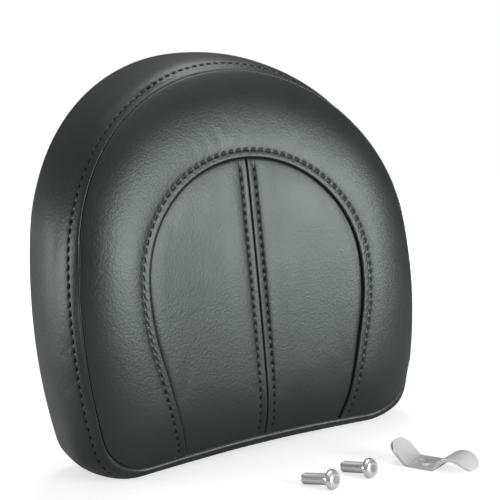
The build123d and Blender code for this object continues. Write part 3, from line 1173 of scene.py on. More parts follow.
@dataclass
class OuterPanel(FrontPanel):
    """The rim of the face, whose folded edge laps the inner panels."""

    near_arch: tuple[float, ...] = (
        *(0, 0.1, 0.24, 0.42, 0.68, 1.05, 1.6, 2.4, 3.2, 3.8, 4.15, 4.43, 4.7, 4.97, 5.25, 5.6),
        *(6.3, 7.4, 9.2, 12.0),
    )
    near_seam: tuple[float, ...] = (0, 0.12, 0.28, 0.5, 0.8, 1.4, 2.5, 4.5, 8)
    near_base: tuple[float, ...] = (0, 0.3, 0.65, 1.05, 1.6, 2.4, 3.4)
    length: float = 560.0
    gaps_along: int = 540
    gaps_across: int = 16
    cloth_cells: tuple[int, int] = (150, 18)
    corner_station: float = 2.45
    held_at_arch: float = 6.0
    stitch_away: float = 4.7
    stitch_end: float = 7.0

    def edges(self) -> tuple[Edge, Edge, Edge, Edge]:
        """Arch, front seam, and the base on the left and on the right."""
        run, station = self.form.arch_foot()
        corner = self.corner_station
        return (
            polyline_edge(self.arch_line(-run, run)),
            polyline_edge(self.base_line(-corner, corner)),
            polyline_edge(self.base_line(-station, -corner)),
            polyline_edge(self.base_line(station, corner)),
        )

    def held(self, flat: Array) -> Array:
        """Points near the front seam, the arch and its stitches."""
        gap, _ = line_gap(flat, self.seam_line())
        return (gap < self.held_at_base) | (self.arch_gap(flat) < self.held_at_arch)

    def relief(self, flat: Array) -> Array:
        """Height of the folds at the front seam and the arch."""
        gap, _ = line_gap(flat, self.seam_line())
        away = np.maximum(self.arch_gap(flat), 0)
        return np.maximum(FRONT_FOLD.height(gap) + ARCH_FOLD.height(away), GROOVE_FLOOR)

    def stitch_gap(self, flat: Array) -> Array:
        """Distance outside the row of stitches beside the arch."""
        return self.arch_gap(flat) - self.stitch_away

    def build(self) -> bpy.types.Object:
        """Builds the panel and its row of stitches."""
        near, far, _, _ = self.edges()
        u = spread(self.length, self.near_base, self.near_base, self.gaps_along)
        width = np.linalg.norm(far(u) - near(u), axis=-1)
        across = [spread(w, self.near_arch, self.near_seam, self.gaps_across) for w in width]
        v = np.stack(across)
        u = np.repeat(u[:, None], v.shape[1], axis=1)
        rise = self.slack("outer_panel", self.cloth_cells)
        line = (1, self.near_arch.index(self.stitch_away))
        return self.sew("outer_cover_panel", (u, v), rise, line, self.stitch_end)


@dataclass
class InnerPanel(FrontPanel):
    """Half of the face inside the arch."""

    side: Side = Side.RIGHT
    near_centre: tuple[float, ...] = (
        *(0, 0.1, 0.24, 0.42, 0.7, 1.1, 1.7, 2.5, 3.4, 3.95, 4.3, 4.55, 4.8, 5.05, 5.3, 5.65),
        *(6.3, 7.6, 9.8),
    )
    near_arch: tuple[float, ...] = (0, 0.5, 1.1, 1.9, 3.0, 4.6, 7.0, 10.5)
    near_base: tuple[float, ...] = (0, 0.3, 0.65, 1.05, 1.6, 2.4, 3.6, 5.5)
    length: float = 172.0
    gaps_along: int = 134
    gaps_across: int = 46
    width_samples: int = 150
    cloth_cells: tuple[int, int] = (22, 44)
    split_run: float = 62.0
    held_at_arch: float = 2.5
    held_at_centre: float = 5.5
    stitch_away: float = 4.8
    stitch_end: float = 4.0

    def edges(self) -> tuple[Edge, Edge, Edge, Edge]:
        """Base, upper arch, centre seam and lower arch, on the right."""
        run, station = self.form.arch_foot()
        _, low = self.form.seam(np.array(4.0))
        centre = np.linspace((0.0, float(low)), (0.0, self.form.arch_top), LINE_POINTS)
        return (
            polyline_edge(self.base_line(4.0, station)),
            polyline_edge(self.arch_line(0.0, self.split_run)),
            polyline_edge(centre),
            polyline_edge(self.arch_line(run, self.split_run)),
        )

    def held(self, flat: Array) -> Array:
        """Points near the seams and the stitches of the centre."""
        gap, _ = line_gap(flat, self.seam_line())
        at_arch = -self.arch_gap(flat) < self.held_at_arch
        return (gap < self.held_at_base) | at_arch | (flat[..., 0] < self.held_at_centre)

    def relief(self, flat: Array) -> Array:
        """Height of the folds at the centre, the arch and the base."""
        gap, _ = line_gap(flat, self.seam_line())
        inside = np.maximum(-self.arch_gap(flat), 0)
        folds = FRONT_FOLD.height(gap) + TUCK_FOLD.height(inside)
        return np.maximum(folds + CENTRE_FOLD.height(flat[..., 0]), GROOVE_FLOOR)

    def stitch_gap(self, flat: Array) -> Array:
        """Distance past the row of stitches beside the centre."""
        return flat[..., 0] - self.stitch_away

    def build(self) -> bpy.types.Object:
        """Builds the panel and its row of stitches beside the centre seam."""
        _, _, centre, arch = self.edges()
        level = np.linspace(0, 1, self.width_samples)
        width = np.linalg.norm(arch(level) - centre(level), axis=-1)
        v_line = spread(self.length, self.near_base, self.near_arch, self.gaps_along)
        widths = np.interp(v_line, level, width)
        across = [spread(w, self.near_centre, self.near_arch, self.gaps_across) for w in widths]
        u = np.stack(across, axis=1)
        v = np.repeat(v_line[None], u.shape[0], axis=0)
        name = f"inner_{self.side.name.lower()}"
        rise = self.slack(name, self.cloth_cells)
        line = (0, self.near_centre.index(self.stitch_away))
        return self.sew(
            f"{name}_cover_panel", (u, v), rise, line, self.stitch_end, self.side.value
        )


@dataclass
class SideBand:
    """The wall of the cover, stitched beside the front seam and turned over the pan."""

    form: PadForm
    cloth: SlackCloth
    dimple: StitchDimple
    columns: int = 820
    near_seam: tuple[float, ...] = (
        *(0, 0.12, 0.28, 0.5, 0.8, 1.3, 2.1, 3.3, 4.4, 5.1, 5.6, 5.9, 6.2, 6.5, 6.8, 7.3, 8.2),
        *(9.8, 12.5),
    )
    near_rim: tuple[float, ...] = (0.0, 2.5)
    between: int = 17
    inner_stride: int = 4
    cloth_cells: tuple[int, int] = (190, 18)
    held_reach: float = 7.5
    held_share: float = 0.96
    blend_reach: float = 25.0
    swell_from: float = 1.9
    swell_over: float = 0.6
    round_steps: int = 6
    hem_steps: int = 6
    hem_ease: float = 5.0
    lining_lift: float = 2.0
    lining_gap: float = 0.6
    rim_half: float = 130.0
    stitch_away: float = 6.2
    floor: float = -120.3
    rows: list[StitchRow] = field(default_factory=list)

    def stations(self, count: int) -> Array:
        """Stations spaced evenly round the front seam, from the base and back to it."""
        fine = np.linspace(-4, 4, SEARCH_POINTS)
        run = run_along(np.stack(self.form.seam(fine), axis=-1))
        return np.interp(np.linspace(0, run[-1], count + 1), run, fine)

    def rim_depth(self, x: Array) -> Array:
        """Depth of the rim where it bows past x."""
        return self.form.rim_depth + self.form.sag(np.clip(x, -self.rim_half, self.rim_half))

    def plain(self, station: Array, share: Array) -> tuple[Array, Array, Array]:
        """The wall from the seam to the start of the rim's round.

        Args:
            station: Stations, one for each row of the grid.
            share: Distance from the seam over the wall's depth, one for each column.

        Returns:
            The points, their outward directions across Y, and the depth of the wall at each
            station.
        """
        seam_x, seam_z = self.form.seam(station)
        seam_at = self.form.face_depth(seam_x, seam_z)
        near_rim = self.form.rim_depth + self.form.rim_round
        rim_x, _, _, _ = self.form.wall(station, station * 0 + near_rim)
        span = seam_at - self.form.rim_round - self.rim_depth(rim_x)
        depth = seam_at[:, None] - span[:, None] * share
        x, z, out_x, out_z = self.form.wall(station[:, None], depth)
        first_x, first_z, _, _ = self.form.wall(station, seam_at)
        ease = 1 - smooth_step(span[:, None] * share / self.blend_reach)
        x = x + ease * (seam_x - first_x)[:, None]
        z = z + ease * (seam_z - first_z)[:, None]
        points = np.stack([x, -depth, z], axis=-1)
        outward = np.stack([out_x, np.zeros_like(x), out_z], axis=-1)
        return points, outward, span

    def slack(self, rows: int, share: Array) -> Array:
        """Rise of the band.

        Args:
            rows: Number of rows of the fine grid.
            share: Distance from the seam over the wall's depth at its points.

        Returns:
            The rise at the fine grid's points.
        """
        high_row, columns = self.cloth_cells
        coarse_share = np.linspace(0, 1, columns)[None]
        coarse, outward, span = self.plain(self.stations(high_row), coarse_share)
        held = (coarse_share * span[:, None] < self.held_reach) | (coarse_share > self.held_share)
        normals = grid_normals(coarse, outward)
        rise = self.cloth.slacken("side_band", coarse, normals, held, True)
        row_at = np.repeat(np.linspace(0, high_row, rows)[:, None], share.shape[1], axis=1)
        return smooth_sample(rise, row_at, share * (columns - 1))

    def build(self) -> bpy.types.Object:
        """Builds the band and its row of stitches."""
        station = self.stations(self.columns)
        _, _, span = self.plain(station, np.array([[0.0]]))
        share = np.stack([spread(s, self.near_seam, self.near_rim, self.between) for s in span])
        points, outward, _ = self.plain(station, share)
        normals = grid_normals(points, outward)
        away = share * span[:, None]
        under = smooth_step((np.abs(station) - self.swell_from) / self.swell_over)[:, None]
        raised = np.maximum(BAND_FOLD.height(away), GROOVE_FLOOR)
        raised = raised + self.slack(len(station), share) + under * BASE_SWELL.height(away)
        column = self.near_seam.index(self.stitch_away)
        row = StitchRow((points + normals * raised[..., None])[:, column], normals[:, column])
        self.rows.append(row)
        raised = raised + self.dimple.height(row.offset()[:, None], away - self.stitch_away)
        direction, lean = lean_out(normals, outward, away)
        wall = points + direction * raised[..., None]
        lining = points - normals * INNER_SKIN + FRONTWARD * lean * EDGE_TUCK
        hem_outer, hem_inner = self.hem(wall[:, -1], outward[:, -1])
        outer = np.concatenate([wall, hem_outer], axis=1)
        inner = np.concatenate([lining[:, :: self.inner_stride][:, :-1], hem_inner], axis=1)
        for grid in (outer, inner):
            grid[..., 2] = np.maximum(grid[..., 2], self.floor)
        return hem_shell("side_cover_band", outer, inner, True, lambda point: point * (1, 0, 1))

    def hem(self, last: Array, out: Array) -> tuple[Array, Array]:
        """The rim's round and the hem behind it, outside and inside.

        Args:
            last: Last points of the wall.
            out: Outward directions there.

        Returns:
            The outer grid and the inner grid.
        """
        rounded = self.form.rim_round
        outer = []
        for step in range(1, self.round_steps + 1):
            angle = math.pi / 2 * step / self.round_steps
            point = last - out * rounded * (1 - math.cos(angle))
            outer.append(point - FRONTWARD * rounded * math.sin(angle))
        start = outer[-1]
        lead = start[:, 1] + self.rim_depth(start[:, 0])

        def behind(inset: float, lift: float, fade: float) -> Array:
            """Points at an inset from the wall, behind the pan."""
            point = last - out * inset
            depth = self.rim_depth(point[:, 0]) + lift
            return np.stack([point[:, 0], lead * fade - depth, point[:, 2]], axis=-1)

        insets = np.linspace(rounded, self.form.hem_width, self.hem_steps + 1)[1:]
        for inset in insets:
            fade = max(0.0, 1 - (inset - rounded) / self.hem_ease)
            outer.append(behind(inset, 0.0, fade))
        thick = self.form.hem_thickness
        inner = [
            behind(self.form.cover_thickness, rounded + self.lining_lift, 1.0),
            behind(self.form.cover_thickness + self.lining_gap, thick, 1.0),
            behind(self.form.hem_width, thick, 0.0),
        ]
        return np.stack(outer, axis=1), np.stack(inner, axis=1)


def make_seats(name: str, at: Array, heading: Array, upward: Array) -> bpy.types.Object:
    """Points that carry the heading and upward direction of what is seated on them."""
    obj = make_object(name, at, [])
    for label, vectors in (("heading", heading), ("upward", upward)):
        data = obj.data.attributes.new(label, "FLOAT_VECTOR", "POINT")
        data.data.foreach_set("vector", np.ascontiguousarray(vectors, np.float32).ravel())
    return obj


class GeometryTree:
    """Builds a geometry node tree with named inputs."""

    def __init__(self, name: str) -> None:
        """Makes a tree with a geometry input and output.

        Args:
            name: The tree's name.
        """
        self.tree = bpy.data.node_groups.new(name, "GeometryNodeTree")
        self.sockets: dict[str, str] = {}
        self.tree.interface.new_socket(
            name="Geometry", in_out="INPUT", socket_type="NodeSocketGeometry"
        )
        self.tree.interface.new_socket(
            name="Geometry", in_out="OUTPUT", socket_type="NodeSocketGeometry"
        )
        self.inputs = self.tree.nodes.new("NodeGroupInput")
        self.outputs = self.tree.nodes.new("NodeGroupOutput")

    def size(self, name: str, value: float, kind: str = "NodeSocketFloat") -> Any:
        """Adds a named input with its usual value and returns its socket."""
        item = self.tree.interface.new_socket(name=name, in_out="INPUT", socket_type=kind)
        if kind not in ("NodeSocketMaterial", "NodeSocketObject"):
            item.default_value = value
        self.sockets[name] = item.identifier
        return self.inputs.outputs[name]

    def node(self, kind: str, settings: Any = None, values: Any = None) -> Any:
        """Adds one node, as add_node does, and returns its first output."""
        return add_node(self.tree, kind, settings, values).outputs[0]

    def scaled(self, value: Any, factor: float) -> Any:
        """A value times a factor."""
        return self.node("ShaderNodeMath", {"operation": "MULTIPLY"}, {0: value, 1: factor})

    def sweep(self, path: Any, profile: Any) -> Any:
        """A profile swept along a path, closed at both ends."""
        values = {"Curve": path, "Profile Curve": profile, "Fill Caps": True}
        return self.node("GeometryNodeCurveToMesh", None, values)

    def seat(self, instance: Any) -> Any:
        """Puts an instance on each point, turned by the point's heading and upward attributes."""
        reads = {"data_type": "FLOAT_VECTOR"}
        heading = self.node("GeometryNodeInputNamedAttribute", reads, {"Name": "heading"})
        upward = self.node("GeometryNodeInputNamedAttribute", reads, {"Name": "upward"})
        turn = self.node(
            "FunctionNodeAxesToRotation",
            {"primary_axis": "Z", "secondary_axis": "X"},
            {0: upward, 1: heading},
        )
        return self.node(
            "GeometryNodeInstanceOnPoints",
            None,
            {"Points": self.inputs.outputs[0], "Instance": instance, "Rotation": turn},
        )

    def end(self, geometry: Any, material: Any) -> None:
        """Closes the tree with Realize Instances and Set Material."""
        real = self.node("GeometryNodeRealizeInstances", None, {"Geometry": geometry})
        dressed = self.node(
            "GeometryNodeSetMaterial", None, {"Geometry": real, "Material": material}
        )
        self.tree.links.new(dressed, self.outputs.inputs[0])

    def grow(self, obj: bpy.types.Object, values: dict[str, Any]) -> bpy.types.Object:
        """Runs the tree on an object and returns the result as a plain mesh object.

        Args:
            obj: The object that carries the points. It is removed.
            values: Input name to value.

        Returns:
            The new object, which takes the old one's name.
        """
        name = obj.name
        modifier = obj.modifiers.new("grow", "NODES")
        modifier.node_group = self.tree
        for key, value in values.items():
            modifier[self.sockets[key]] = value
        evaluated = obj.evaluated_get(bpy.context.evaluated_depsgraph_get())
        mesh = bpy.data.meshes.new_from_object(evaluated)
        bpy.data.objects.remove(obj)
        mesh.name = name
        mesh.shade_smooth()
        mesh.set_sharp_from_angle(angle=SHARP_ANGLE)
        result = bpy.data.objects.new(name, mesh)
        bpy.context.scene.collection.objects.link(result)
        return result


@dataclass(frozen=True)
class StitchWork:
    """Lockstitches of thick thread, grown on the centres of the stitch rows."""

    thread_radius: float = 0.5
    length: float = 2.9
    sunk: float = 0.62
    end_dip: float = 0.45
    bends: int = 6
    sides: int = 7

    def tree(self) -> GeometryTree:
        """Makes the tree that puts a bent stub of thread on each point."""
        tree = GeometryTree("stitches")
        length = tree.size("Stitch Length", self.length * MM)
        radius = tree.size("Thread Radius", self.thread_radius * MM)
        dip = tree.size("End Dip", self.end_dip * MM)
        thread = tree.size("Thread", 0.0, "NodeSocketMaterial")
        low = tree.scaled(dip, -1.0)
        ends = [
            tree.node("ShaderNodeCombineXYZ", None, {0: tree.scaled(length, share), 2: low})
            for share in (-0.5, 0.5)
        ]
        middle = tree.node("ShaderNodeCombineXYZ", None, {2: dip})
        path = tree.node(
            "GeometryNodeCurveQuadraticBezier",
            None,
            {"Resolution": self.bends, "Start": ends[0], "Middle": middle, "End": ends[1]},
        )
        ring = tree.node(
            "GeometryNodeCurvePrimitiveCircle",
            None,
            {"Resolution": self.sides, "Radius": radius},
        )
        tree.end(tree.seat(tree.sweep(path, ring)), thread)
        return tree

    def sew(self, name: str, rows: Sequence[StitchRow], thread: Any) -> bpy.types.Object:
        """Makes the stitches of some rows.

        Args:
            name: The object's name.
            rows: The rows.
            thread: The thread's material.

        Returns:
            The object.
        """
        seats = [row.seats() for row in rows]
        at, heading, upward = (np.concatenate([seat[k] for seat in seats]) for k in range(3))
        upward = upward / np.linalg.norm(upward, axis=1, keepdims=True)
        seats = make_seats(name, at - upward * self.sunk, heading, upward)
        return self.tree().grow(seats, {"Thread": thread})


@dataclass(frozen=True)
class ButtonScrews:
    """Quarter inch button head screws that lie on the floor, with their threads.

    A spot is the x and y of a screw's tip and the direction in degrees from there to its head.
    """

    spots: tuple[tuple[float, float, float], ...] = ((-16.5, -143.1, -68.8), (10.9, -141.5, -74.5))
    shank_radius: float = 3.175
    length: float = 19.05
    head_radius: float = 5.55
    head_height: float = 3.35
    head_edge: float = 0.35
    crown_radius: float = 2.95
    crown_steps: int = 8
    seat_round: float = 0.08
    socket_flats: float = 3.97
    socket_depth: float = 2.1
    socket_chamfer: float = 0.12
    tip_chamfer: float = 0.9
    pitch: float = 1.27
    thread_height: float = 0.62
    under_head: float = 1.3
    neck_round: float = 0.3
    runout: float = 0.5
    sides: int = 48
    helix_steps: int = 24
    pinhole: float = 0.05

    @property
    def tilt(self) -> float:
        """Angle at which the head's rim and the thread's end both touch the floor."""
        rise = self.head_radius - self.shank_radius
        return math.atan(rise / (self.length - self.tip_chamfer))

    def body(self) -> bpy.types.Object:
        """Head with its socket, and the core of the shank, along +X from the head's underside."""
        angle = np.arange(self.sides) * 2 * math.pi / self.sides
        sector = math.pi / 3
        hexagon = self.socket_flats / 2 / np.cos(angle % sector - sector / 2)
        core = self.shank_radius - self.thread_height
        top, low = -self.head_height, self.socket_depth - self.head_height
        rings: list[tuple[float, float | Array]] = [
            (low, self.pinhole),
            (low, hexagon),
            (top + self.socket_chamfer, hexagon),
            (top, hexagon + self.socket_chamfer),
        ]
        for turn in np.linspace(0, math.pi / 2, self.crown_steps + 1):
            reach = self.crown_radius + (self.head_radius - self.crown_radius) * math.sin(turn)
            dome = self.head_height - self.head_edge
            rings.append((-self.head_edge - dome * math.cos(turn), reach))
        rings += [
            (-self.seat_round, self.head_radius),
            (0.0, self.head_radius - self.seat_round),
            (0.0, self.shank_radius + self.neck_round),
            (self.neck_round, self.shank_radius),
            (self.under_head, self.shank_radius),
            (self.under_head + self.runout, core),
            (self.length - self.runout, core),
            (self.length, core - self.runout),
            (self.length, self.pinhole),
        ]
        return turned("screw_body", rings, self.sides, Axis.X)

    def tree(self) -> GeometryTree:
        """Makes the tree that winds a thread on the body and seats both on each point."""
        tree = GeometryTree("threaded_screw")
        body = tree.size("Body", 0.0, "NodeSocketObject")
        metal = tree.size("Metal", 0.0, "NodeSocketMaterial")
        threaded = self.length - self.under_head - self.tip_chamfer
        turns = tree.size("Turns", threaded / self.pitch)
        height = tree.size("Thread Height", self.thread_height * MM)
        radius = tree.size("Helix Radius", (self.shank_radius - self.thread_height) * MM)
        run = tree.size("Thread Run", threaded * MM)
        start = tree.size("Thread Start", self.under_head * MM)
        helix = tree.node(
            "GeometryNodeCurveSpiral",
            None,
            {
                "Resolution": self.helix_steps,
                "Rotations": turns,
                "Start Radius": radius,
                "End Radius": radius,
                "Height": run,
            },
        )
        upright = tree.node("GeometryNodeSetCurveNormal", {"mode": "Z_UP"}, {"Curve": helix})
        ridge = tree.node(
            "GeometryNodeCurvePrimitiveCircle", None, {"Resolution": 4, "Radius": height}
        )
        laid = tree.node(
            "GeometryNodeTransform",
            None,
            {
                "Geometry": tree.sweep(upright, ridge),
                "Translation": tree.node("ShaderNodeCombineXYZ", None, {0: start}),
                "Rotation": (0.0, math.pi / 2, 0.0),
            },
        )
        shape = add_node(tree.tree, "GeometryNodeObjectInfo", None, {"Object": body})
        both = add_node(tree.tree, "GeometryNodeJoinGeometry", None, {0: laid})
        tree.tree.links.new(shape.outputs["Geometry"], both.inputs[0])
        tree.end(tree.seat(both.outputs[0]), metal)
        return tree

    def build(self, metal: Any, floor: float) -> bpy.types.Object:
        """Makes the screws.

        Args:
            metal: The plated finish.
            floor: Height of the floor, in millimetres.

        Returns:
            The object, which replaces the CAD screws.
        """
        at, heading, upward = [], [], []
        heel = self.length * math.cos(self.tilt)
        for tip_x, tip_y, degrees in self.spots:
            way = np.array([math.cos(math.radians(degrees)), math.sin(math.radians(degrees)), 0.0])
            up = np.array([0.0, 0.0, 1.0])
            high = floor + self.head_radius * math.cos(self.tilt)
            at.append(np.array([tip_x, tip_y, 0.0]) + way * heel + up * high)
            heading.append(-way * math.cos(self.tilt) - up * math.sin(self.tilt))
            upward.append(up * math.cos(self.tilt) - way * math.sin(self.tilt))
        body = self.body()
        seats = make_seats("threaded_screws", *(np.array(part) for part in (at, heading, upward)))
        screws = self.tree().grow(seats, {"Metal": metal, "Body": body})
        bpy.data.objects.remove(body)
        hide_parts("mounting_screws")
        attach(screws, BODY)
        LOG.info("%s: %d faces", screws.name, len(screws.data.polygons))
        return screws


@dataclass
class SewnCover:
    """The four panels of the cover and their stitches."""

    form: PadForm = PadForm()
    dimple: StitchDimple = StitchDimple()
    face_cloth: SlackCloth = SlackCloth()
    band_cloth: SlackCloth = SlackCloth(pressure=1.2, spare=0.0008, most=0.35)
    fill: float = 0.9

    def build(self, vinyl: Any, thread: Any, floor: float) -> None:
        """Builds, dresses and seats the panels and stitches.

        Args:
            vinyl: The cover's material.
            thread: The thread's material.
            floor: Height of the floor, in millimetres.
        """
        face = (self.form, self.face_cloth, self.dimple)
        outer = OuterPanel(*face)
        left, right = (InnerPanel(*face, back=self.form.lap_step, side=side) for side in Side)
        band = SideBand(self.form, self.band_cloth, self.dimple, floor=floor)
        made = [
            (outer.build(), "outer_panel"),
            (left.build(), "inner_left_panel"),
            (right.build(), "inner_right_panel"),
            (band.build(), "side_band"),
        ]
        for obj, node in made:
            obj.data.materials.append(vinyl)
            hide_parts(node)
            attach(obj, BODY)
            LOG.info("%s: %d faces", obj.name, len(obj.data.polygons))
        rows = {
            "arch_stitches": outer.rows,
            "centre_stitches": left.rows + right.rows,
            "band_stitches": band.rows,
        }
        for name, lines in rows.items():
            stitches = StitchWork().sew(name, lines, thread)
            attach(stitches, BODY)
            LOG.info("%s: %d faces", name, len(stitches.data.polygons))


@dataclass(frozen=True)
class BarClip:
    """Bent strap on the floor: a hooked near end, a flat with a hole and a raised far end."""

    spot: tuple[float, float, float] = (53.0, -163.6, -70.0)
    width: float = 17.5
    thickness: float = 2.0
    end_radius: float = 7.5
    flat_half_length: float = 7.5
    bend_radius: float = 4.0
    ramp_angle: float = math.radians(45)
    ramp_length: float = 4.0
    far_length: float = 14.0
    bar_radius: float = 9.6
    saddle_sweep: float = math.radians(110)
    bend_step: float = math.radians(6)
    straight_steps: int = 6
    tip_steps: int = 8
    hole_radius: float = 3.6
    collar_radius: float = 5.6
    collar_height: float = 0.6
    edge_round: float = 0.4
    edge_angle: float = math.radians(50)
    lines_across: int = 21
    hole_sides: int = 40

    def half_path(self, legs: Sequence[tuple[float, float]]) -> tuple[Array, Array]:
        """Points and turned angles of half of the strap's underside.

        Args:
            legs: Turn in radians and length or radius of each leg; a turn of 0 is straight.

        Returns:
            x and z of the points, and the angle that the strap has turned by at each.
        """
        place, angle = np.zeros(2), 0.0
        points, angles = [place.copy()], [0.0]
        for turn, size in legs:
            steps, length = self.straight_steps, size
            if turn:
                steps, length = max(int(abs(turn) / self.bend_step), 3), abs(turn) * size
            for _ in range(steps):
                middle = angle + turn / steps / 2
                place = place + length / steps * np.array([math.cos(middle), math.sin(middle)])
                angle += turn / steps
                points.append(place.copy())
                angles.append(angle)
        return np.array(points), np.array(angles)

    def path(self) -> tuple[Array, Array]:
        """The strap's underside from its far end to its near end."""
        start = [(0.0, self.flat_half_length), (self.ramp_angle, self.bend_radius)]
        near = start + [(0.0, self.ramp_length), (-self.saddle_sweep, self.bar_radius)]
        far = start + [(0.0, self.far_length)]
        near_points, near_angles = self.half_path(near)
        far_points, far_angles = self.half_path(far)
        points = np.concatenate([(far_points * [-1, 1])[:0:-1], near_points])
        return points, np.concatenate([-far_angles[:0:-1], near_angles])

    def build(self, metal: Any, floor: float) -> bpy.types.Object:
        """Makes the clip.

        Args:
            metal: The strap's finish.
            floor: Height of the floor, in millimetres.

        Returns:
            The object, which replaces the CAD clip.
        """
        points, angles = self.path()
        run = run_along(points)
        ends = np.linspace(0, math.pi / 2, self.tip_steps + 1)
        extra = self.end_radius * (1 - np.cos(ends)[::-1])
        fine = np.unique(np.concatenate([run, extra, run[-1] - extra]).round(4))
        line = read_line(fine, run, points)
        bends = np.interp(fine, run, angles)
        from_end = np.minimum(fine, run[-1] - fine)
        square = self.width / 2 - self.end_radius
        inset = np.clip(self.end_radius - from_end, 0, self.end_radius)
        half = square + np.sqrt(self.end_radius**2 - inset**2)
        across = np.linspace(-1, 1, self.lines_across)
        out = np.stack([-np.sin(bends), np.cos(bends)], axis=-1)
        grids = []
        for level in (self.thickness, 0.0):
            flat = line + out * level
            grid = np.zeros((len(fine), len(across), 3))
            grid[..., 0] = flat[:, :1]
            grid[..., 1] = half[:, None] * across
            grid[..., 2] = flat[:, 1:]
            grids.append(grid)
        strap = hem_shell("bar_clip_strap", *grids, False, lambda _: np.array([0.0, 0.0, 1.0]))
        self.drill(strap)
        heading = math.radians(self.spot[2])
        place = Matrix.Translation(Vector((self.spot[0], self.spot[1], floor)) * MM)
        strap.data.transform(place @ Matrix.Rotation(heading, 4, "Z"))
        strap.data.materials.clear()
        strap.data.materials.append(metal)
        strap.data.shade_smooth()
        strap.data.set_sharp_from_angle(angle=SHARP_ANGLE)
        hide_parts("bar_clip")
        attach(strap, BODY)
        LOG.info("%s: %d faces", strap.name, len(strap.data.polygons))
        return strap

    def drill(self, strap: bpy.types.Object) -> None:
        """Adds the pressed collar, cuts the hole and rounds the edges."""
        top = self.thickness + self.collar_height
        foot = self.collar_radius + self.collar_height
        rings = [(self.thickness / 2, foot), (self.thickness, foot), (top, self.collar_radius)]
        collar = turned("collar", rings, self.hole_sides, Axis.Z)
        rings = [(-self.thickness, self.hole_radius), (top + self.thickness, self.hole_radius)]
        drill = turned("drill", rings, self.hole_sides, Axis.Z)
        for tool, operation in ((collar, "UNION"), (drill, "DIFFERENCE")):
            cut = strap.modifiers.new("shape", "BOOLEAN")
            cut.operation = operation
            cut.solver = "EXACT"
            cut.object = tool
        bevel = strap.modifiers.new("edges", "BEVEL")
        bevel.width = self.edge_round * MM
        bevel.segments = 2
        bevel.angle_limit = self.edge_angle
        evaluated = strap.evaluated_get(bpy.context.evaluated_depsgraph_get())
        mesh = bpy.data.meshes.new_from_object(evaluated)
        strap.modifiers.clear()
        strap.data = mesh
        for tool in (collar, drill):
            bpy.data.objects.remove(tool)


# Studio


@dataclass(frozen=True)
class Softbox:
    """An area lamp that points at the pad, with its place and size in metres."""

    name: str
    at: tuple[float, float, float]
    size: tuple[float, float]
    power: float

    def hang(self, target: tuple[float, float, float]) -> None:
        """Adds the lamp, turned to a target."""
        data = bpy.data.lights.new(self.name, "AREA")
        data.shape = "RECTANGLE"
        data.size, data.size_y = self.size
        data.energy = self.power
        lamp = bpy.data.objects.new(self.name, data)
        lamp.location = self.at
        direction = Vector(target) - Vector(self.at)
        lamp.rotation_euler = direction.to_track_quat("-Z", "Y").to_euler()
        bpy.context.scene.collection.objects.link(lamp)


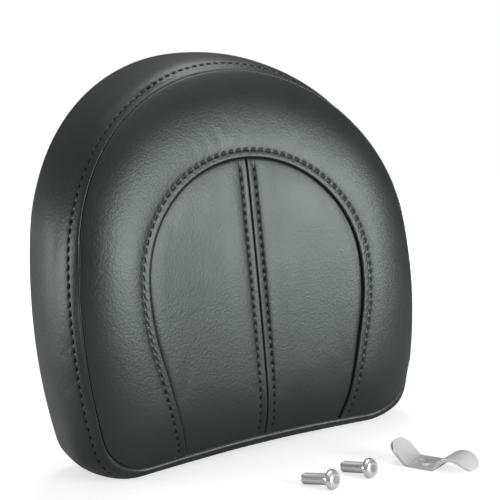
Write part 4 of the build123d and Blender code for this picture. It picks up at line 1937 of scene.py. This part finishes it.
@dataclass(frozen=True)
class Studio:
    """Camera, floor, lamps and white surroundings.

    A reach is two values between which something grows from nothing to its full share: of the
    distance from the pad in metres, or of the direction's Y or Z.
    """

    camera_at: tuple[float, float, float] = (-256.7, -544.2, 47.6)
    turn: float = 0.4992
    rise: float = 0.0801
    roll: float = -0.08
    focal: float = 62.96
    near_clip: float = 0.01
    far_clip: float = 50.0
    floor_size: float = 12.0
    floor_grey: float = 0.8
    floor_glow: float = 0.62
    far_glow: float = 0.7
    glow_reach: tuple[float, float] = (0.3, 1.1)
    target: tuple[float, float, float] = (0.0, -0.06, 0.0)
    lamps: tuple[Softbox, ...] = (
        Softbox("front_softbox", (0.50, -1.25, 0.14), (0.6, 0.5), 15.0),
        Softbox("left_softbox", (-1.15, 0.5, 0.1), (0.8, 0.5), 6.0),
        Softbox("top_softbox", (0.3, 0.2, 1.3), (0.6, 0.6), 5.0),
    )
    ambient: float = 0.28
    mirrored: float = 0.12
    back_glow: float = 0.5
    back_reach: tuple[float, float] = (-0.1, 0.45)
    low_reach: tuple[float, float] = (-0.05, 0.3)
    sky_glow: float = 0.14
    sky_reach: tuple[float, float] = (0.3, 0.7)
    zenith_glow: float = 0.8
    zenith_reach: tuple[float, float] = (0.75, 0.95)

    def place_camera(self) -> None:
        """Makes the camera at the photograph's viewing angle."""
        a, e = self.turn, self.rise
        back = Vector((-math.sin(a) * math.cos(e), -math.cos(a) * math.cos(e), math.sin(e)))
        right = (-back).cross(Vector((0, 0, 1))).normalized()
        up = right.cross(-back)
        across = right * math.cos(self.roll) + up * math.sin(self.roll)
        over = up * math.cos(self.roll) - right * math.sin(self.roll)
        data = bpy.data.cameras.new("camera")
        data.sensor_width = 36.0
        data.lens = self.focal
        data.clip_start, data.clip_end = self.near_clip, self.far_clip
        camera = bpy.data.objects.new("camera", data)
        bpy.context.scene.collection.objects.link(camera)
        basis = Matrix((across, over, back)).transposed().to_4x4()
        basis.translation = Vector(self.camera_at) * MM
        camera.matrix_world = basis
        bpy.context.scene.camera = camera

    def lay_floor(self, height: float) -> bpy.types.Object:
        """Makes the pale floor.

        Args:
            height: Height of the floor, in metres.

        Returns:
            The floor.
        """
        half = self.floor_size / 2 / MM
        level = height / MM
        square = ((-half, -half), (half, -half), (half, half), (-half, half))
        floor = make_object("floor", np.array([(x, y, level) for x, y in square]), [range(4)])
        sheet = NodeSheet.named("floor_white")
        rays = sheet.node("ShaderNodeLightPath")
        away = sheet.node("ShaderNodeVectorMath", {"operation": "LENGTH"}, {0: sheet.place()})
        far = sheet.ease(Socket(sheet, away.outputs["Value"]), *self.glow_reach)
        seen = Socket(sheet, rays.outputs["Is Camera Ray"])
        strength = seen * (self.floor_glow + far * self.far_glow)
        grey = (self.floor_grey,) * 3 + (1.0,)
        diffuse = sheet.node("ShaderNodeBsdfDiffuse", None, {"Color": grey})
        glow = sheet.node("ShaderNodeEmission", None, {"Strength": strength})
        both = sheet.node("ShaderNodeAddShader", None, {0: diffuse.outputs[0], 1: glow.outputs[0]})
        sheet.surface(both.outputs[0])
        floor.data.materials.append(sheet.owner)
        floor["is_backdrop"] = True
        return floor

    def light(self) -> None:
        """Adds the lamps and the white surroundings."""
        for lamp in self.lamps:
            lamp.hang(self.target)
        sheet = NodeSheet(bpy.data.worlds.new("surroundings"))
        bpy.context.scene.world = sheet.owner
        rays = sheet.node("ShaderNodeLightPath")
        coords = sheet.node("ShaderNodeTexCoord").outputs["Generated"]
        parts = sheet.node("ShaderNodeSeparateXYZ", None, {0: coords})
        behind = sheet.ease(Socket(sheet, parts.outputs["Y"]), *self.back_reach)
        high = Socket(sheet, parts.outputs["Z"])
        low = 1 - sheet.ease(high, *self.low_reach)
        sky = sheet.ease(high, *self.sky_reach) * self.sky_glow
        zenith = sheet.ease(high, *self.zenith_reach) * self.zenith_glow
        mirrored = self.mirrored + (sky + zenith) + behind * low * self.back_glow
        glossy = Socket(sheet, rays.outputs["Is Glossy Ray"])
        seen = Socket(sheet, rays.outputs["Is Camera Ray"])
        level = self.ambient + glossy * (mirrored - self.ambient)
        strength = level + seen * (1 - level)
        white = (1.0, 1.0, 1.0, 1.0)
        back = sheet.node("ShaderNodeBackground", None, {"Color": white, "Strength": strength})
        sheet.surface(back.outputs[0])
        bpy.context.scene.view_settings.view_transform = "Standard"


@dataclass(frozen=True)
class CarriedNodes:
    """CAD nodes that stay as they are and get a finish."""

    finishes: dict[str, Any]

    def dress(self, nodes: dict[str, bpy.types.Object]) -> None:
        """Gives each node its material."""
        built: dict[str, bpy.types.Material] = {}
        for node, finish in self.finishes.items():
            if finish.name not in built:
                built[finish.name] = finish.build()
            mesh = nodes[node].data
            mesh.materials.clear()
            mesh.materials.append(built[finish.name])
            LOG.info("%s: dressed in %s", node, finish.name)


def main() -> None:
    """Builds the dressed model and its studio."""
    logging.basicConfig(level=logging.INFO, format="%(name)s %(message)s")
    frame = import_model()
    cad_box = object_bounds()
    pan = MouldedFinish("pan_plastic", (0.030, 0.030, 0.031), (0.045, 0.045, 0.047), 0.5)
    back = MouldedFinish("cover_plastic", (0.018, 0.019, 0.020), (0.030, 0.031, 0.032), 0.46)
    nylon = MouldedFinish("clip_nylon", (0.014, 0.014, 0.015), (0.022, 0.022, 0.023), 0.35, 0.00002)
    zinc = PlatedFinish("bright_zinc", (0.55, 0.56, 0.55), (0.72, 0.72, 0.70), 0.3)
    chrome = PlatedFinish("bright_plating", (0.72, 0.73, 0.74), (0.90, 0.91, 0.92), 0.22, 0.78)
    steel = PlatedFinish("strap_steel", (0.78, 0.79, 0.78), (0.92, 0.92, 0.91), 0.34, 0.45)
    vinyl = VinylFinish()
    CarriedNodes(
        {
            "side_band": vinyl,
            "outer_panel": vinyl,
            "inner_left_panel": vinyl,
            "inner_right_panel": vinyl,
            "foam_core": FoamFinish(),
            "base_pan": pan,
            "upper_insert": zinc,
            "lower_insert": zinc,
            "staples": zinc,
            "back_cover": back,
            "cover_clips": nylon,
            "mounting_screws": chrome,
            "bar_clip": steel,
        }
    ).dress(frame["nodes"])
    SewnCover().build(vinyl.build(), ThreadFinish().build(), cad_box[0].z / MM)
    ButtonScrews().build(chrome.build(), cad_box[0].z / MM)
    BarClip().build(steel.build(), cad_box[0].z / MM)
    studio = Studio()
    studio.lay_floor(cad_box[0].z)
    studio.light()
    studio.place_camera()


if __name__ == "__main__":
    main()
